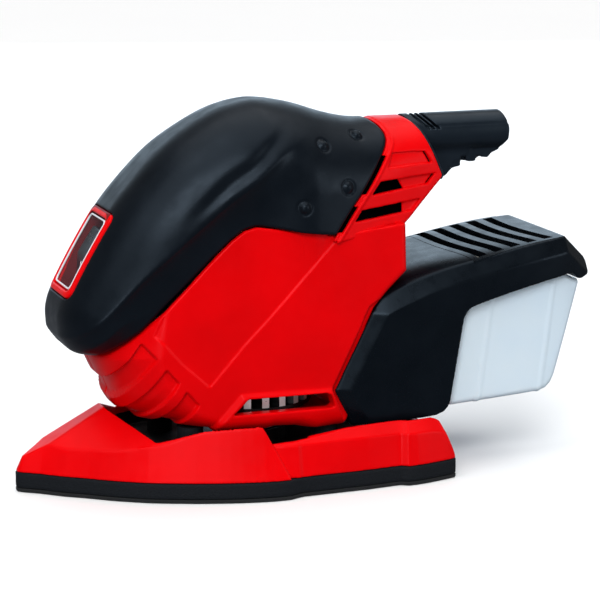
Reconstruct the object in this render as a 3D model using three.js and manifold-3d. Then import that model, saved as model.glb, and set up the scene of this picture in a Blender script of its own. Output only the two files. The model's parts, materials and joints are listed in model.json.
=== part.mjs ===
// Detail mouse sander: iron-shaped orbital sander with a soft-grip hood, a front rocker
// switch, a vertical motor over the pad and a slide-on dust box with a clear bin.
// Millimetres, +Z up. Shapes are laid out from the nose tip (x = 0, rear is +x), sole at
// z = 0, mid-plane y = 0; the outer group then centres the length on the origin.
import * as THREE from 'three';
import { mergeVertices } from 'three/addons/utils/BufferGeometryUtils.js';
import Module from 'manifold-3d';

const wasm = await Module();
wasm.setup();

// ---- driving dimensions -------------------------------------------------------------
const ORIGIN_X = 122.75;       // nose tip to the origin (half of the overall length)
const GAP = 0.3;               // play between pieces that touch
const MOTOR_X = 100;           // vertical motor axis, from the nose
const ECC = 1.0;               // eccentricity: 2 mm orbit diameter
const PAD_X = MOTOR_X + ECC;   // pad centre with the eccentric pointing rearward
const PAPER_Z = 1.5;           // hook face thickness
const FOAM_TOP = 8.0;          // top of the foam pad
const WALL = 2.5;              // housing wall
const GRIP = 2.5;              // soft grip thickness
const FAN_R = 27;
const CORE_R = 13;             // armature radius
const STATOR_R = 25;
const SLEEVE_Z = 139.5;        // cord sleeve axis height
const SLEEVE_R = 8.8;
const BODY_FLOOR = 26;         // underside of the motor housing
const TILT = Math.PI / 180 * 25.4; // window face lean from upright
const FACE_X = 31.8;           // centre of the window face
const FACE_Z = 97;
const BEZEL_W = 14;            // half-width and half-height of the switch bezel
const BEZEL_H = 19.6;
const ROCKER_LEAN = Math.PI / 180 * 7;
const SCREWS = [[58, 43], [131, 69.5], [150, 95], [72, 134], [124, 139], [57, 70]];
const FEET = [[68, 22], [68, -22], [126, 24], [126, -24]];
const PAD_SCREWS = [[52, 14], [52, -14], [148, 28], [148, -28]];

// ---- materials ----------------------------------------------------------------------
const mat = (color, roughness, metalness = 0, extra = {}) =>
  new THREE.MeshStandardMaterial({ color, roughness, metalness, ...extra });
const red = () => mat(0xd80f12, 0.35);
const softBlack = () => mat(0x262b31, 0.7);
const black = () => mat(0x14171b, 0.5);
const foamBlack = () => mat(0x101113, 0.95);
const steel = () => mat(0x9a9da1, 0.35, 1);
const castAlu = () => mat(0xb4b7ba, 0.45, 1);
const copper = () => mat(0xb5673a, 0.4, 1);
const clear = () => mat(0xdfeaf6, 0.25, 0, { transparent: true, opacity: 0.55 });

// ---- solids -------------------------------------------------------------------------
function toSolid(geometry) {
  const bare = geometry.index ? geometry.toNonIndexed() : geometry.clone();
  bare.deleteAttribute('normal');
  bare.deleteAttribute('uv');
  const g = mergeVertices(bare, 1e-4);
  const tri = [];
  for (let i = 0; i < g.index.count; i += 3) {
    const [a, b, c] = [g.index.getX(i), g.index.getX(i + 1), g.index.getX(i + 2)];
    if (a !== b && b !== c && a !== c) tri.push(a, b, c);
  }
  const body = new wasm.Manifold(new wasm.Mesh({
    numProp: 3,
    vertProperties: new Float32Array(g.attributes.position.array),
    triVerts: new Uint32Array(tri),
  }));
  return body;
}
const node = (name, body, material) => {
  const m = body.getMesh();
  const g = new THREE.BufferGeometry();
  g.setAttribute('position', new THREE.BufferAttribute(new Float32Array(m.vertProperties), 3));
  g.setIndex(new THREE.BufferAttribute(new Uint32Array(m.triVerts), 1));
  g.computeVertexNormals();
  const mesh = new THREE.Mesh(g, material);
  mesh.name = name;
  return mesh;
};
const shapeOf = (pts) => new THREE.Shape(pts.map(([a, b]) => new THREE.Vector2(a, b)));
// Outline in (x, z), swept across y.
function side(pts, y0, y1) {
  const g = new THREE.ExtrudeGeometry(shapeOf(pts), { depth: y1 - y0, bevelEnabled: false });
  g.rotateX(Math.PI / 2);
  g.translate(0, y1, 0);
  return toSolid(g);
}
// Outline in (x, y), swept up z.
function plan(pts, z0, z1) {
  const g = new THREE.ExtrudeGeometry(shapeOf(pts), { depth: z1 - z0, bevelEnabled: false });
  g.translate(0, 0, z0);
  return toSolid(g);
}
function box(x0, x1, y0, y1, z0, z1) {
  const g = new THREE.BoxGeometry(x1 - x0, y1 - y0, z1 - z0);
  g.translate((x0 + x1) / 2, (y0 + y1) / 2, (z0 + z1) / 2);
  return toSolid(g);
}
// Turned piece about a vertical line through (x, y); profile is [r, z] pairs.
function turned(profile, x, y, seg = 32) {
  const g = new THREE.LatheGeometry(profile.map(([r, z]) => new THREE.Vector2(r, z)), seg);
  g.rotateX(Math.PI / 2);
  g.translate(x, y, 0);
  return toSolid(g);
}
const rod = (r, x, y, z0, z1, seg = 32) =>
  turned([[0, z0], [r, z0], [r, z1], [0, z1]], x, y, seg);
const ring = (r0, r1, x, y, z0, z1, seg = 24) =>
  turned([[r0, z0], [r1, z0], [r1, z1], [r0, z1], [r0, z0]], x, y, seg);
function rodY(r, x, z, y0, y1, seg = 16) {
  const g = new THREE.CylinderGeometry(r, r, y1 - y0, seg);
  g.translate(x, (y0 + y1) / 2, z);
  return toSolid(g);
}
function rodX(r, y, z, x0, x1, seg = 24, r1 = r) {
  const g = new THREE.CylinderGeometry(r, r1, x1 - x0, seg);
  g.rotateZ(Math.PI / 2);
  g.translate((x0 + x1) / 2, y, z);
  return toSolid(g);
}
// Rings of equal point counts joined side by side, with both ends closed.
function loft(rings) {
  const n = rings[0].length;
  const pos = [];
  rings.forEach((r) => r.forEach((p) => pos.push(...p)));
  const idx = [];
  for (let i = 0; i + 1 < rings.length; i++) {
    for (let j = 0; j < n; j++) {
      const a = i * n + j, b = i * n + ((j + 1) % n), c = a + n, d = b + n;
      idx.push(a, b, d, a, d, c);
    }
  }
  [0, rings.length - 1].forEach((k) => {
    const centre = [0, 1, 2].map((q) => rings[k].reduce((s, p) => s + p[q], 0) / n);
    const m = pos.length / 3;
    pos.push(...centre);
    for (let j = 0; j < n; j++) {
      const a = k * n + j, b = k * n + ((j + 1) % n);
      if (k === 0) idx.push(m, b, a); else idx.push(m, a, b);
    }
  });
  const g = new THREE.BufferGeometry();
  g.setAttribute('position', new THREE.BufferAttribute(new Float32Array(pos), 3));
  g.setIndex(idx);
  let body = toSolid(g);
  if (body.volume() < 0) {
    const flipped = [];
    for (let i = 0; i < idx.length; i += 3) flipped.push(idx[i], idx[i + 2], idx[i + 1]);
    g.setIndex(flipped);
    body = toSolid(g);
  }
  return body;
}
const union = (...s) => s.reduce((a, b) => a.add(b));
const mirrored = (pts) => [...pts, ...pts.slice().reverse().map(([x, y]) => [x, -y])];
const lerpTable = (table, x) => {
  if (x <= table[0][0]) return table[0].slice(1);
  for (let i = 1; i < table.length; i++) {
    if (x <= table[i][0]) {
      const t = (x - table[i - 1][0]) / (table[i][0] - table[i - 1][0]);
      return table[i].slice(1).map((v, k) => table[i - 1][k + 1] * (1 - t) + v * t);
    }
  }
  return table[table.length - 1].slice(1);
};

// ---- pad ----------------------------------------------------------------------------
const PAD_EDGE = [[0.2, 2], [3.7, 4.8], [8, 7.8], [16.2, 15.1], [24.7, 21.1], [32.7, 27.5],
  [41.4, 33.1], [50.2, 37.8], [59.3, 41.5], [68.4, 44.9], [77.4, 47.7], [87, 50], [94, 51.3],
  [102, 51.2], [106, 49.3], [123.9, 48.4], [150.8, 48], [164.2, 47.7], [174.4, 45.1],
  [178, 43.3]];
const padPlan = mirrored(PAD_EDGE);
const hookFace = plan(padPlan, 0, PAPER_Z);
const foamPad = plan(padPlan, PAPER_Z + GAP, FOAM_TOP);

// Plastic base: x, sole half-width, rim half-width, rim z, crest half-width, crest z.
const BASE = [
  [0.6, 2.0, 1.6, 15.5, 0.6, 17.5], [3.7, 4.5, 3.4, 18.8, 0.9, 21.2], [12, 11.8, 10, 21.5, 3, 25.6],
  [24.7, 20.8, 18.2, 22.7, 6, 31.4], [34.3, 28.4, 25, 24, 9, 36], [36, 29.4, 26, 24.2, 9, 35.2],
  [41, 32.6, 29, 25, 9, 27.5], [49, 37, 33.4, 26, 8, 26.2], [60, 41.5, 38, 25.4, 8, 25.6],
  [77, 47.3, 43.6, 25, 8, 25.2], [94, 51, 46.6, 24.8, 8, 25], [102, 50.9, 46.6, 24.6, 8, 24.8],
  [106, 49, 45.6, 24.6, 8, 24.8], [137, 48, 45, 25.4, 8, 25.6], [160, 47.6, 44.5, 26, 8, 26.2],
  [168, 46.4, 42.4, 23.5, 8, 23.7], [174.4, 44.9, 41, 16.5, 8, 16.7], [177.9, 43.2, 42, 10, 8, 10.2],
];
const baseOuter = loft(BASE.map(([x, wb, wr, zr, wt, zt]) => [
  [x, -wb, FOAM_TOP + GAP], [x, -wr - (wb - wr) * 0.7, FOAM_TOP + 3.5], [x, -wr, zr], [x, -wt, zt],
  [x, wt, zt], [x, wr, zr], [x, wr + (wb - wr) * 0.7, FOAM_TOP + 3.5], [x, wb, FOAM_TOP + GAP],
]));
const PLATE_EDGE = [[38, 20], [60, 33], [92, 41], [150, 41], [166, 37]];
const grow = (pts, d) => pts.map(([x, y], i) => [x + (i === 0 ? -d : i === pts.length - 1 ? d : 0), y + d]);
const pocket = plan(mirrored([[39.5, 19], [49, 27], [60, 33], [77, 39], [92, 42], [160, 41.5], [169, 38]]), 14, 60);
const rearGate = box(160, 190, -37, 37, 17, 60);
let baseShell = baseOuter
  .subtract(pocket)
  .subtract(rearGate)
  .subtract(plan(mirrored(grow(PLATE_EDGE, GAP)), 0, 10.8 + GAP))
  .subtract(rod(15.6, PAD_X, 0, 5, 30));
let basePlate = union(
  plan(mirrored(PLATE_EDGE), FOAM_TOP + GAP, 10.8),
  rod(15.2, PAD_X, 0, 10.7, 19.8),
).subtract(rod(11.3, PAD_X, 0, 11.9, 30)).subtract(rod(7.6, PAD_X, 0, 0, 30));
PAD_SCREWS.forEach(([x, y]) => {
  basePlate = basePlate.subtract(rod(1.9, x, y, 0, 30, 12));
  baseShell = baseShell.subtract(rod(1.9, x, y, 0, 30, 12));
});
const padScrew = ([x, y]) => turned([[0, 8.5], [1.6, 8.5], [1.6, 14.3], [3.2, 14.3], [3.2, 16.6], [0, 16.6]], x, y, 12);
const bearingScrew = turned([[0, 8.6], [6.4, 8.6], [6.4, 11.0], [0, 11.0]], PAD_X, 0, 16);

// ---- rotor --------------------------------------------------------------------------
const shaft = union(
  rod(3.9, PAD_X, 0, 11.3, 20.6, 24),
  rod(5.1, MOTOR_X, 0, 20.5, 28.5, 24),
  rod(4, MOTOR_X, 0, 28.4, 127, 24),
);
const eccentricBearing = ring(4.2, 11, PAD_X, 0, 12.2, 19.2);
const weightArc = [];
for (let i = 0; i <= 12; i++) {
  const t = Math.PI * (0.5 + i / 12);
  weightArc.push([MOTOR_X + 20 * Math.cos(t), 20 * Math.sin(t)]);
}
const eccentricWeight = union(plan(weightArc, 21, 27.8), rod(9, MOTOR_X, 0, 21, 27.8, 24))
  .subtract(rod(5.4, MOTOR_X, 0, 0, 40, 24));
let fan = union(rod(FAN_R, MOTOR_X, 0, 31, 32.6, 40), rod(8, MOTOR_X, 0, 31, 41, 24));
for (let i = 0; i < 16; i++) {
  const g = new THREE.BoxGeometry(17, 1.3, 9.4);
  g.translate(18, 0, 37);
  g.rotateZ((i / 16) * Math.PI * 2);
  g.translate(MOTOR_X, 0, 0);
  fan = fan.add(toSolid(g));
}
fan = fan.subtract(rod(4.3, MOTOR_X, 0, 0, 60, 24));
const coreShape = [];
for (let i = 0; i < 12; i++) {
  [[-0.2, CORE_R], [0.2, CORE_R]].forEach(([d, r]) => {
    const t = ((i + 0.5 + d * 1.6) / 12) * Math.PI * 2;
    coreShape.push([MOTOR_X + r * Math.cos(t), r * Math.sin(t)]);
  });
  const t = ((i + 1) / 12) * Math.PI * 2;
  coreShape.push([MOTOR_X + 10.5 * Math.cos(t - 0.05), 10.5 * Math.sin(t - 0.05)],
    [MOTOR_X + 10.5 * Math.cos(t + 0.05), 10.5 * Math.sin(t + 0.05)]);
}
const armatureCore = plan(coreShape, 62, 92).subtract(rod(4.3, MOTOR_X, 0, 0, 200, 24));
const commutator = ring(4.3, 9, MOTOR_X, 0, 99, 110, 24);

// ---- motor pieces fixed in the housing ----------------------------------------------
let stator = ring(CORE_R + 0.4, STATOR_R, MOTOR_X, 0, 62, 92, 40);
[-1, 1].forEach((s) => {
  stator = stator.subtract(box(MOTOR_X + (s > 0 ? 12.4 : -19.6), MOTOR_X + (s > 0 ? 19.6 : -12.4), -13.6, 13.6, 50, 110));
});
const coil = (s) => {
  const [a, b] = s > 0 ? [5, 13.2] : [-13.2, -5];
  return box(MOTOR_X - 19.2, MOTOR_X + 19.2, a, b, 57.6, 96.4)
    .subtract(box(MOTOR_X - 12.8, MOTOR_X + 12.8, a - 1, b + 1, 61.7, 92.3))
    .subtract(rod(CORE_R + 0.4, MOTOR_X, 0, 61, 93, 32));
};
const lowerBearing = ring(4.3, 11, MOTOR_X, 0, 46.5, 53.5);
const upperBearing = ring(4.3, 9.5, MOTOR_X, 0, 117.5, 124.5);
const bridge = union(
  plan(mirrored([[74, 20], [84, 29], [116, 29], [126, 20]]), 45.8, 48),
  rod(14, MOTOR_X, 0, 45.8, 55),
).subtract(rod(11.3, MOTOR_X, 0, 46.2, 80)).subtract(rod(7.5, MOTOR_X, 0, 0, 80));
const baffle = plan(mirrored([[71, 18], [82, 30], [118, 30], [128.5, 22]]), 43.4, 45.5)
  .subtract(rod(18, MOTOR_X, 0, 0, 80));
const brushHolder = (s) => {
  const [a, b] = s > 0 ? [10.5, 25] : [-25, -10.5];
  return box(MOTOR_X - 5, MOTOR_X + 5, a, b, 100.5, 108.5)
    .subtract(box(MOTOR_X - 3.2, MOTOR_X + 3.2, a - 1, b + 1, 102.2, 106.8));
};
const brush = (s) => (s > 0
  ? box(MOTOR_X - 2.9, MOTOR_X + 2.9, 9.3, 21, 102.5, 106.5)
  : box(MOTOR_X - 2.9, MOTOR_X + 2.9, -21, -9.3, 102.5, 106.5));
const capacitor = box(58, 70, -8, 8, 92, 106);

// ---- upper body ---------------------------------------------------------------------
// Sections across the hood and collar: x, crown z, floor z, widest z, half-width there,
// half-width at the floor.
const UPPER = [
  [18.6, 77, 67, 72, 6, 5], [20, 83, 64, 72, 13, 11], [22.6, 89, 61, 73, 20, 18],
  [27.6, 98.4, 58, 75.5, 26.5, 24], [34, 109.2, 56, 80, 31.2, 28.5], [41, 119.2, 54, 85, 34, 31],
  [50, 131.4, 60, 92.5, 36, 33], [61.6, 142.4, 70, 102, 36.8, 33.6], [73, 150.2, 82, 112, 37, 34],
  [85.5, 155.8, 92, 121, 37, 34], [98, 158.2, 97, 129, 36.6, 34], [110, 156.8, 97, 132, 35.6, 33.6],
  [122, 154, 97, 131, 34, 33], [134, 149.8, 97, 129, 32, 31.5], [146, 147.6, 97, 127, 29, 30],
  [158, 147.5, 98, 126, 25.5, 28], [170, 147.5, 100, 126, 21, 24], [190, 147.5, 112, 130, 17, 18],
];
const upper = (d) => loft(UPPER.map(([x, zt, zb, zc, w, wl]) => {
  const k = x < 98 ? 98 - (98 - x) * (1 - d / 79.4) : x;
  const pts = [];
  const [W, T, B, L] = [w - d, zt - d, zb, wl - d].map((v) => Math.max(v, 1));
  for (let i = 0; i <= 10; i++) {
    const t = (i / 10) * Math.PI;
    const c = Math.cos(t), s = Math.sin(t);
    pts.push([k, W * Math.sign(c) * Math.abs(c) ** 0.9, zc + (T - zc) * s ** 0.9]);
  }
  pts.push([k, -L, B + 2], [k, -L + 3 * (L > 4), B], [k, L - 3 * (L > 4), B], [k, L, B + 2]);
  return pts;
}));
// Sections through the motor housing: z, front x, rear x, half-width.
const LOWER = [
  [BODY_FLOOR, 57, 134, 31], [28.5, 50.5, 134, 33], [33, 45.2, 134, 34], [40, 40.5, 134, 34.6],
  [48, 36.6, 135, 35], [57, 33.5, 138, 35], [66, 37, 141.5, 35], [73, 44, 144.8, 35],
  [80, 52, 151, 34.6], [87, 60, 159.3, 34.2], [97, 70, 159.3, 33.6], [113, 86, 159.3, 33],
];
const lower = (d) => loft(LOWER.map(([z, xf, xr, w]) => {
  const pts = [];
  const W = w - d, F = xf + d * 1.1, R = xr - d, depth = 20;
  for (let i = 0; i <= 8; i++) {
    const t = -Math.PI / 2 + (i / 8) * Math.PI;
    pts.push([F + depth * (1 - Math.cos(t) ** 0.75), W * Math.sin(t), z]);
  }
  pts.push([R - 4, W, z], [R, W - 4, z], [R, -W + 4, z], [R - 4, -W, z]);
  return pts;
}));
// Line where the soft hood ends above the red housing, closed far below it.
const RIM = [[5, 60], [25, 60.2], [36.7, 64.6], [43.4, 68], [49.7, 73.4], [56, 79.4], [75.4, 97.6],
  [86.8, 107.4], [93.2, 109.8], [112, 106], [131, 103.6]];
const belowRim = (d) => side([...RIM.map(([x, z]) => [x, z + d]), [131, 0], [5, 0]], -60, 60);
// Line between the hood and the rear collar.
const SEAM = [[131, 102.6], [143.6, 118.2], [154.6, 135.2], [154.9, 140.3], [148, 152], [148, 175]];
const behindSeam = (d) => side([...SEAM.map(([x, z]) => [x + d, z]), [230, 175], [230, 102.6]], -60, 60);
const collarFoot = (d) => side([[128, 102.6 + d], [142.8, 102.8 + d], [161.5, 105.4 + d], [230, 105.4 + d],
  [230, 0], [128, 0]], -60, 60);
const tail = side([[169, 160], [169, 148], [184.4, 121.8], [166, 107.6], [164, 90], [230, 90], [230, 160]], -60, 60);
const sleeveBore = rodX(SLEEVE_R + 0.35, 0, SLEEVE_Z, 152.4, 240, 28);

const skin = upper(0);
const skeleton = upper(GRIP + GAP).subtract(box(133, 230, -60, 60, 90, 103));
const hollow = upper(GRIP + GAP + 2.2);
const windowCut = (d) => {
  // Sloping front window, square to the front face of the hood.
  const g = new THREE.BoxGeometry(60, 2 * (BEZEL_W + d), 2 * (BEZEL_H + d));
  g.rotateY(TILT);
  g.translate(FACE_X, 0, FACE_Z);
  return toSolid(g);
};
const bezelZone = windowCut(GAP);
const gripCover = skin.subtract(skeleton).subtract(belowRim(0)).subtract(behindSeam(-GAP))
  .subtract(bezelZone);

const frameSkirt = (d) => side([[134.5 - d, 20], [126 - d, 39.5], [143 - d, 74 + d], [200, 74 + d], [200, 20]], -60, 60);
const besideFrame = frameSkirt(0.4).subtract(box(100, 220, -32.6, 32.6, 0, 120));
const lowerSkin = lower(0).subtract(besideFrame);
const foot = collarFoot(-GAP);
let shellOuter = union(
  lowerSkin.intersect(union(belowRim(-GAP), foot)),
  skeleton.subtract(behindSeam(-GAP)),
);
// Keep the lower front of the hood zone from standing proud of the housing.
shellOuter = shellOuter.subtract(side([[0, 0], [0, 59.9], [25, 59.9], [33.2, 62.4], [33.4, 57], [33, 30], [33, 0]], -60, 60));
const cavity = union(
  lower(WALL).subtract(rearStep()),
  hollow.subtract(side([[0, 0], [0, 62], [34, 62], [60, 83], [80, 95], [100, 98], [230, 98], [230, 0]], -60, 60)),
  box(134, 156.7, -29.5, 29.5, 95, 140),
);
function rearStep() {
  return side([[131.5, 10], [131.5, 42], [141, 72], [200, 72], [200, 10]], -60, 60);
}
const ribs = union(
  box(MOTOR_X - 13, MOTOR_X + 13, -33, 33, 60, 94).subtract(rod(STATOR_R + GAP, MOTOR_X, 0, 50, 100, 40)),
  plan(mirrored([[68, 20], [80, 31], [120, 31], [134, 20]]), 118.6, 121.4)
    .add(rod(13, MOTOR_X, 0, 116, 126, 24)).subtract(rod(9.8, MOTOR_X, 0, 100, 125, 24)).subtract(rod(5, MOTOR_X, 0, 100, 130, 24)),
  box(124, 128, -31, 31, 130, 150),
  box(137, 141, -26, 26, 126, 142),
);
const bosses = union(...SCREWS.map(([x, z]) => rodY(4.4, x, z, -32.5, 32.5, 16)));
const envelope = union(lowerSkin.intersect(union(belowRim(-GAP), foot)), skeleton.subtract(behindSeam(-GAP)));
let shell = shellOuter.subtract(cavity)
  .add(ribs.add(bosses).intersect(envelope))
  .subtract(rod(23.5, MOTOR_X, 0, 10, 32, 40))                       // fan and weight well
  .subtract(windowCut(GAP).intersect(box(0, 60, -40, 40, 0, 160)))
  .subtract(box(120, 170, -10, 10, 41.8, 62.2).intersect(rodX(10.2, 0, 52, 120, 170)))
  .subtract(box(130, 175, -9.5, 9.5, 128, 160));
FEET.forEach(([x, y]) => { shell = shell.subtract(rod(5.8, x, y, 20, 27.4, 20)); });
// Side openings in front of the fan.
const fanWindow = side([[85, 32.6], [88.5, 40.2], [124, 40], [125.6, 33.4], [120, 31]], -60, 60)
  .subtract(box(60, 150, -26, 26, 0, 60));
shell = shell.subtract(fanWindow);
SCREWS.forEach(([x, z]) => {
  shell = shell.subtract(rodY(1.75, x, z, -16, 40, 12)).subtract(rodY(3.4, x, z, 19.7, 45, 16));
});
const leftZone = box(-10, 260, -80, -GAP / 2, -10, 200);
const rightZone = box(-10, 260, GAP / 2, 80, -10, 200);
const biggest = (body) => body.decompose().sort((a, b) => b.volume() - a.volume())[0];
const housingLeft = biggest(shell.intersect(leftZone));
const housingRight = biggest(shell.intersect(rightZone));
const housingScrew = ([x, z]) => union(rodY(1.45, x, z, -14, 20.2, 10), rodY(3.05, x, z, 20, 23, 14));

// Collar: red vented shell behind the hood, open below into the housing.
let collar = skin.intersect(behindSeam(0)).subtract(collarFoot(0)).subtract(tail);
collar = collar.subtract(upper(2.4).subtract(side([[160, 160], [167, 148], [181.6, 122.4], [163.6, 108.4],
  [163.4, 60], [260, 60], [260, 160]], -60, 60)).intersect(behindSeam(-40)));
collar = collar.subtract(sleeveBore).subtract(box(120, 158, -12, 12, 124, 160));
const SLOTS = [
  [[157.5, 134.8], [169.5, 135.3], [172, 130.6], [154.6, 129.4]],
  [[150.4, 123.6], [170.5, 125.6], [167.6, 121], [147.6, 118.4]],
  [[143.6, 112.2], [163.5, 115], [160.8, 110.6], [140.4, 107.6]],
];
SLOTS.forEach((s) => {
  collar = collar.subtract(side(s, 12, 60)).subtract(side(s, -60, -12));
});
collar = biggest(collar);
const sleeve = union(
  rodX(SLEEVE_R, 0, SLEEVE_Z, 155.6, 214.3, 28),
  rodX(7.4, 0, SLEEVE_Z - 2.4, 142.8, 146, 20),
  rodX(5.2, 0, SLEEVE_Z - 0.4, 142.8, 156, 20),
).intersect(side([[100, 100], [100, 148.3], [210.6, 148.3], [214.3, 141], [214.3, 135.8], [210.6, 131.4], [206, 100]], -40, 40))
  .subtract(rodX(3.6, 0, SLEEVE_Z, 100, 240, 20));
const cordClamp = box(132.4, 136.4, -8.5, 8.5, 131.5, 141.5).subtract(box(120, 140, -4, 4, 135.5, 160));

// ---- switch -------------------------------------------------------------------------
const faceBox = (u0, u1, y0, y1, v0, v1) => {
  // u: depth into the tool along the face normal, v: height up the face.
  const g = new THREE.BoxGeometry(u1 - u0, y1 - y0, v1 - v0);
  g.translate((u0 + u1) / 2, (y0 + y1) / 2, (v0 + v1) / 2);
  g.rotateY(TILT);
  g.translate(FACE_X, 0, FACE_Z);
  return toSolid(g);
};
const switchBezel = faceBox(-1.0, 5.2, -BEZEL_W, BEZEL_W, -BEZEL_H, BEZEL_H)
  .subtract(faceBox(-5, 8, -BEZEL_W + 2.8, BEZEL_W - 2.8, -BEZEL_H + 3, BEZEL_H - 3));
const switchBoot = faceBox(-0.8, 0.6, -BEZEL_W + 3.1, BEZEL_W - 3.1, -BEZEL_H + 3.3, BEZEL_H - 3.3);
// Two-faced rocker leaning 7 degrees about its pin, 8 mm behind the face.
const rockerProfile = [[-2.9, 12], [-4.2, 0.6], [-4.2, -0.6], [-2.9, -12], [1, -12], [3, -3], [3, 3], [1, 12]];
const rockerShape = new THREE.ExtrudeGeometry(shapeOf(rockerProfile), { depth: 13.2, bevelEnabled: false });
rockerShape.rotateX(Math.PI / 2);
rockerShape.translate(0, 6.6, 0);
rockerShape.rotateY(TILT - ROCKER_LEAN);
rockerShape.translate(FACE_X + 8 * Math.cos(TILT), 0, FACE_Z - 8 * Math.sin(TILT));
const switchRocker = toSolid(rockerShape);
const switchBody = faceBox(5.6, 20, -8.4, 8.4, -15.6, 15.6)
  .subtract(faceBox(5, 15, -6.9, 6.9, -13.2, 13.2));

// ---- dust box -----------------------------------------------------------------------
const FRAME = [[134.5, 23.8], [126, 39.5], [144.5, 72.5], [158.5, 79.6], [175, 84.6], [191, 88.6],
  [212, 92.8], [233.2, 96.3], [244.6, 85.8], [245.3, 79.8], [240.7, 77.8], [234.6, 80.6], [210, 76.2],
  [187.7, 70.8], [184.1, 68.1], [183.2, 64.6], [177.9, 29.8], [176, 27.8], [167.9, 24.7]];
const framePlanEdge = [[120, 36], [200, 36], [228, 33.2], [246, 29]];
const framePlan = (d) => mirrored(framePlanEdge.map(([x, y]) => [x, y - d]));
const frameBlock = side(FRAME, -50, 50).intersect(plan(framePlan(0), 0, 120));
const frameInside = side([[100, 26.4], [167.5, 27.4], [174.5, 30.6], [180, 66], [183, 71.5], [187, 73.6],
  [210, 79], [233.6, 83.4], [238.6, 81.6], [242.6, 82.6], [242, 85], [232.4, 93.6], [212, 90.2], [191, 86],
  [175, 82], [158.5, 77], [150, 72.4], [136, 45], [100, 45]], -50, 50)
  .intersect(plan(framePlan(2.7), 0, 120));
// Sockets at the front take the housing; the rear wall of the leg faces the bin.
const housingRoom = union(
  side([[100, 20], [134.4, 20], [134.4, 40], [135.4, 48], [138.4, 57], [141.9, 66], [145.2, 73], [151.4, 80],
    [159.8, 87.3], [159.8, 120], [100, 120]], -50, 50).intersect(plan(mirrored([[90, 33.1], [170, 33.1]]), 0, 140)),
);
let boxFrame = frameBlock.subtract(frameInside).subtract(housingRoom);
// Underside under the rail is open to the bin.
boxFrame = boxFrame.subtract(box(185.5, 236, -28, 28, 60, 86).intersect(side([[186, 60], [186, 82], [236, 84.5], [236, 60]], -40, 40)));
boxFrame = boxFrame.subtract(rodX(10.6, 0, 52, 120, 200, 24));
for (let i = 0; i < 5; i++) {
  const x = 192 + i * 8.6;
  const c = (y) => x - 3.4 * (1 - (y / 28) ** 2) + 1.2;
  const pts = [];
  const half = 28.5 - i * 0.6;
  for (let k = 0; k <= 6; k++) { const y = -half + (k / 6) * 2 * half; pts.push([c(y), y]); }
  for (let k = 6; k >= 0; k--) { const y = -half + (k / 6) * 2 * half; pts.push([c(y) + 3.6, y]); }
  boxFrame = boxFrame.subtract(plan(pts, 82, 110));
}
boxFrame = biggest(boxFrame);
// Filter sits in the frame above the bin.
const filterFrame = side([[188, 77.4], [229, 84.4], [229, 86.4], [188, 79.6]], -27, 27)
  .subtract(box(191, 226, -24, 24, 60, 100));
const pleat = [];
for (let i = 0; i <= 16; i++) pleat.push([190.8 + i * 2.2, 80.6 + 0.158 * (i * 2.2) + (i % 2 ? 1.7 : 0)]);
const pleatBack = pleat.slice().reverse().map(([x, z]) => [x, z + 0.9]);
const filterElement = side([...pleat, ...pleatBack], -26, 26);
// Clear bin.
const BIN = [[178.6, 29.6], [179.6, 26.6], [222.6, 29.5], [228, 31], [230.4, 34.6], [242.4, 75.4], [241.4, 77.2],
  [236.4, 79.2], [234.6, 80.2], [210, 75.8], [188, 70.4], [184.6, 67.8], [183.6, 64.4]];
const binPlan = (d) => mirrored([[170, 31.4 - d], [222, 30.6 - d], [233, 28.4 - d], [242.5 - d, 24 - d]]);
const binBlock = side(BIN.map(([x, z]) => [x, z]), -50, 50).intersect(plan(binPlan(0), 0, 120));
const binInside = side([[181, 30.4], [182, 29], [222.2, 31.6], [226.6, 33], [228.4, 35.6], [239.6, 74], [239, 100],
  [186.4, 100], [185.6, 64.4]], -50, 50).intersect(plan(binPlan(2), 0, 120));
const dustBin = binBlock.subtract(binInside).subtract(rodX(9, 0, 52, 170, 192, 24));
// Dust nozzle from the fan space into the box.
const nozzle = union(rodX(9.8, 0, 52, 131.8, 152, 24), rodX(11.6, 0, 52, 129.2, 131.2, 24), rodX(9.8, 0, 52, 131, 132, 24))
  .subtract(rodX(7.6, 0, 52, 120, 170, 24));
const seal = rodX(13.4, 0, 52, 171, 175.6, 24).subtract(rodX(9, 0, 52, 160, 190, 24));

// ---- rubber feet --------------------------------------------------------------------
const rubberFoot = ([x, y]) => rod(5.4, x, y, 14.3, 27.1, 20);

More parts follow.
